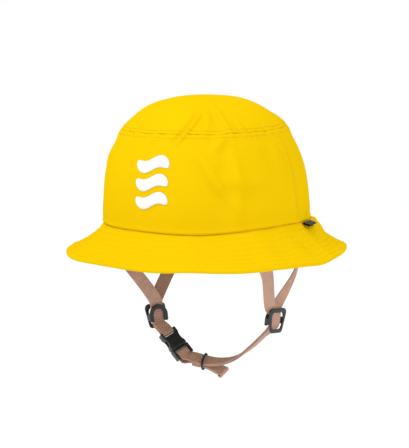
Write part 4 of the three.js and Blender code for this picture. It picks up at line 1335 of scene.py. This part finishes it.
def make_tail():
    """Two layers of webbing under the main strap, ending in a sewn roll."""
    layers = []
    for name, shift in (("upper", -0.68), ("lower", 0.68)):
        stations = [(at, across, apart + shift) for at, across, apart in tail_stations()]
        layers.append(make_strap(f"tail_{name}", stations, -1, count=70))
    end, across, normal = strap_frames(tail_stations(), 3, -1)[-1]
    forward = unit(np.cross(across, normal))
    forward = forward * (1 if forward[0] > 0 else -1)
    roll_centre = end + forward * ROLL["ahead"] - normal * ROLL["below"]
    spiral = []
    steps = ROLL["steps"]
    for i in range(steps + 1):
        turn = i / steps * ROLL["turns"] * TAU
        radius = ROLL["radius"] - ROLL["tightening"] * i / steps
        at = roll_centre + forward * radius * math.sin(turn) + normal * radius * math.cos(turn)
        spiral.append((at, across, 0.0))
    layers.append(make_strap("tail_roll", spiral, 0, count=120, thickness=ROLL["thick"]))
    finish_piece(join("strap_tail_woven", layers), WEBBING, body="tail", nodes=["strap_tail"])


# ---- Shell, foam liner and comfort pads ---------------------------------------------------
SHELL_RIM, LINER_RIM = -16 * MM, -8 * MM
SHELL_THICK, LINER_THICK = 2.6 * MM, 20 * MM
PAD_LOW, PAD_HIGH, PAD_INSET, PAD_THICK = -4 * MM, 42 * MM, 25.4 * MM, 8 * MM


def crown_ring(inset, height, angles):
    heights = np.full_like(angles, height)
    return head_point(crown_radius(heights, inset), angles, heights)


def crown_bowl(name, inset, thickness, rim, lip, thinned=0.0, rows=60, count=200):
    """A closed bowl: an outer and an inner face joined by a rounded rim; thinned from outside above."""
    angles = np.arange(count) * TAU / count - math.pi
    share = np.sin(np.linspace(0, 0.985, rows) * math.pi / 2)
    rings = []
    for face, depth in enumerate((inset, inset + thickness)):
        top = CROWN_TOP - depth
        heights = rim + lip + (top - rim - lip) * share
        give = [0.0 if face else thinned * float(step(h, 4 * MM, 24 * MM)) for h in heights]
        faces_rings = []
        for h, more in zip(heights, give):
            highest = (CROWN_TOP - depth - more) * 0.9999
            raised = h * (highest / top if h > 0 else 1)
            faces_rings.append(crown_ring(depth + more, min(raised, highest), angles))
        rings.append(faces_rings)
    middle = inset + thickness / 2
    round_rim = []
    for bend_by in np.linspace(0, math.pi, 9)[1:-1]:
        depth = middle - thickness / 2 * math.cos(bend_by)
        round_rim.append(crown_ring(depth, rim + lip - lip * math.sin(bend_by), angles))
    order = rings[0][::-1] + round_rim + rings[1]
    points = np.concatenate(order)
    faces = grid_faces(len(order), count, closed=True)
    last = (len(order) - 1) * count
    faces += [tuple(reversed(range(count))), tuple(range(last, last + count))]
    return face_outwards(new_object(name, points, faces))


def make_shell():
    lip = SHELL_THICK / 2
    shell = crown_bowl("outer_shell_moulding", 2.0 * MM, SHELL_THICK, SHELL_RIM, lip, thinned=1.8 * MM)
    holes = []
    for divider in DIVIDERS.values():
        for turn in ANCHOR_TURNS.values():
            here, _, outward = rim_frame(divider["side"], turn, ANCHOR_LIFT)
            hole = lathe("hole", [(2.3, -6), (2.3, 12)], 24)
            holes.append(put_in_place(hole, (here[0], here[1], -12.5), (0, 0, 1), outward))
    shell = carve(shell, holes)
    for polygon in shell.data.polygons:
        polygon.use_smooth = True
    shell.data.set_sharp_from_angle(angle=math.radians(40))
    paint = Paint("shell_plastic", (0.78, 0.78, 0.76), 0.35)
    wear = paint.noise(60, 4)
    paint.shade(wear, 0.9, 1.04)
    paint.rough(wear, 0.28, 0.45)
    paint.bump(paint.noise(1800, 2), 0.02 * MM, 0.4)
    finish_piece(shell, paint.material, nodes=["outer_shell"])


def make_liner():
    liner = crown_bowl("impact_liner_foam", 5.0 * MM, LINER_THICK, LINER_RIM, 3 * MM)
    paint = Paint("liner_foam", (0.030, 0.033, 0.037), 0.85, Specular_IOR_Level=0.25)
    cells = paint.node("ShaderNodeTexVoronoi", {"Vector": paint.place(), "Scale": 420.0}).outputs["Distance"]
    paint.shade(cells, 0.55, 1.7)
    paint.rough(cells, 0.75, 0.95)
    paint.bump(cells, 0.35 * MM, 0.8)
    finish_piece(liner, paint.material, nodes=["impact_liner"])


def pad_paint():
    finish = {"Sheen_Weight": 0.3, "Sheen_Roughness": 0.4, "Specular_IOR_Level": 0.15}
    paint = Paint("pad_cloth", (0.020, 0.022, 0.025), 0.9, **finish)
    loops = paint.node("ShaderNodeTexVoronoi", {"Vector": paint.place(), "Scale": 900.0}).outputs["Distance"]
    patches = paint.noise(40, 3)
    tone = paint.maths("ADD", paint.maths("MULTIPLY", loops, 0.6), paint.maths("MULTIPLY", patches, 0.4))
    paint.shade(tone, 0.5, 1.9)
    paint.bump(loops, 0.15 * MM, 0.7)
    return paint.material


PADS = {
    "brow_pad": (-90, 27), "nape_pad": (90, 20), "left_side_pad": (2, 20), "right_side_pad": (178, 20),
}
PUFF = 1.6 * MM


def pillow(item):
    """Cloth over foam: the closed block is remeshed, swelled a little by cloth pressure and smoothed."""
    made = item.modifiers.new("remesh", "REMESH")
    made.mode, made.voxel_size = "VOXEL", 3 * MM
    apply_modifiers(item)
    start = np.array([v.co for v in item.data.vertices])
    cloth = item.modifiers.new("cloth", "CLOTH")
    cloth.settings.use_pressure = True
    cloth.settings.uniform_pressure_force = 4
    cloth.settings.effector_weights.gravity = 0
    cloth.point_cache.frame_end = 20
    for number in range(1, 21):
        bpy.context.scene.frame_set(number)
    apply_modifiers(item)
    bpy.context.scene.frame_set(1)
    for vertex, before in zip(item.data.vertices, start):
        move = np.array(vertex.co) - before
        size = np.linalg.norm(move)
        if size > PUFF:
            vertex.co = Vector(before + move * PUFF / size)
    smooth = item.modifiers.new("smooth", "SMOOTH")
    smooth.factor, smooth.iterations = 0.5, 4
    item.modifiers.new("finer", "SUBSURF").levels = 1
    return apply_modifiers(item)


def pad_block(name, sheet, thickness):
    """A pad from its sewn outline: a grid that thins towards the edge, closed at the back."""
    rows, columns = sheet.shape[:2]
    v, u = np.meshgrid(np.linspace(-1, 1, rows), np.linspace(-1, 1, columns), indexing="ij")
    crowned = np.clip(1 - np.abs(u) ** 5, 0, 1) ** 0.4 * np.clip(1 - np.abs(v) ** 5, 0, 1) ** 0.4
    normal = np.cross(np.gradient(sheet, axis=1), np.gradient(sheet, axis=0))
    normal /= np.maximum(np.linalg.norm(normal, axis=-1, keepdims=True), 1e-12)
    inwards = np.array([0, 0, 0.04]) - sheet
    normal *= np.sign((normal * inwards).sum(-1, keepdims=True))
    face = sheet + normal * (0.5 * MM + crowned[..., None] * (thickness - 1.2 * MM))
    count = rows * columns
    points = np.concatenate([sheet.reshape(-1, 3), face.reshape(-1, 3)])
    front = grid_faces(rows, columns)
    faces = [tuple(reversed(f)) for f in front] + [tuple(i + count for i in f) for f in front]
    rim = [j for j in range(columns)] + [i * columns + columns - 1 for i in range(1, rows)]
    rim += [(rows - 1) * columns + j for j in range(columns - 2, -1, -1)]
    rim += [i * columns for i in range(rows - 2, 0, -1)]
    faces += [(a, b, b + count, a + count) for a, b in zip(rim, rim[1:] + rim[:1])]
    return face_outwards(new_object(name, points, faces))


def channel(item, inset_from, width=1.1 * MM, depth=1.4 * MM):
    """Sinks sewn channels into a pad's face where the distance function is near zero."""
    centre = np.array([0, 0, 0.04])
    for vertex in item.data.vertices:
        p = np.array(vertex.co)
        sink = depth * math.exp(-((inset_from(p) / width) ** 2))
        away = p - centre
        vertex.co = Vector(p + away / np.linalg.norm(away) * sink * 0.8)
    return item


def make_pads():
    paint = pad_paint()
    for node, (turn, half) in PADS.items():
        low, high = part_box(node)
        turns = np.radians(np.linspace(turn - half, turn + half, 40))
        heights = np.linspace(PAD_LOW + 1 * MM, PAD_HIGH - 1.5 * MM, 26)
        angle, z = np.meshgrid(turns, heights)
        sheet = head_point(crown_radius(z, PAD_INSET + 0.3 * MM), angle, z)
        side_on = abs(turn) in (90,)
        across = sheet[..., 0] if side_on else sheet[..., 1]
        lowest, highest = (low[0], high[0]) if side_on else (low[1], high[1])
        grid = np.linspace(lowest + 1 * MM, highest - 1 * MM, 40)
        for row in range(sheet.shape[0]):
            order = np.argsort(across[row])
            fitted = [np.interp(grid, across[row][order], sheet[row, :, k][order]) for k in range(3)]
            sheet[row] = np.stack(fitted, -1)
        pad = pillow(pad_block(f"{node}_cushion", sheet, PAD_THICK - 0.6 * MM))
        middle = 0.5 * (lowest + highest)
        span = highest - lowest
        axis = 0 if side_on else 1
        channel(pad, lambda p: min(abs(p[axis] - middle - k * span / 3 * 0.5) for k in (-1, 1)))
        for polygon in pad.data.polygons:
            polygon.use_smooth = True
        finish_piece(pad, paint, nodes=[node])
    low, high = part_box("crown_pad")
    middle_y = 0.5 * (low[1] + high[1])
    v, u = np.meshgrid(np.linspace(-1, 1, 40), np.linspace(-1, 1, 40), indexing="ij")
    x = u * np.sqrt(1 - v**2 / 2) * (high[0] - 1 * MM)
    y = v * np.sqrt(1 - u**2 / 2) * (0.5 * (high[1] - low[1]) - 1 * MM)
    top = CROWN_TOP - PAD_INSET - 0.3 * MM
    reach = np.hypot(x, y / 1.2)
    ring = np.clip(reach / (CROWN_RADIUS - PAD_INSET), 0, 0.999)
    z = top * (1 - ring**FULLNESS) ** (1 / FULLNESS)
    sheet = np.stack([x, y + middle_y, z - 0.4 * MM], -1)
    pad = pillow(pad_block("crown_pad_cushion", sheet, PAD_THICK - 0.6 * MM))
    channel(pad, lambda p: abs(math.hypot(p[0], p[1] - middle_y) - 16 * MM))
    for polygon in pad.data.polygons:
        polygon.use_smooth = True
    finish_piece(pad, paint, nodes=["crown_pad"])


make_side_panels()
make_top_panel()
make_crown_stitches()
make_brim()
make_brim_board()
make_brim_stitches()
make_emblem()
make_tag()
make_harness_straps()
make_tail()
for wearer_side in DIVIDERS:
    make_divider(wearer_side)
make_socket()
make_plug()
make_prongs()
make_keeper()
make_anchors()
make_shell()
make_liner()
make_pads()
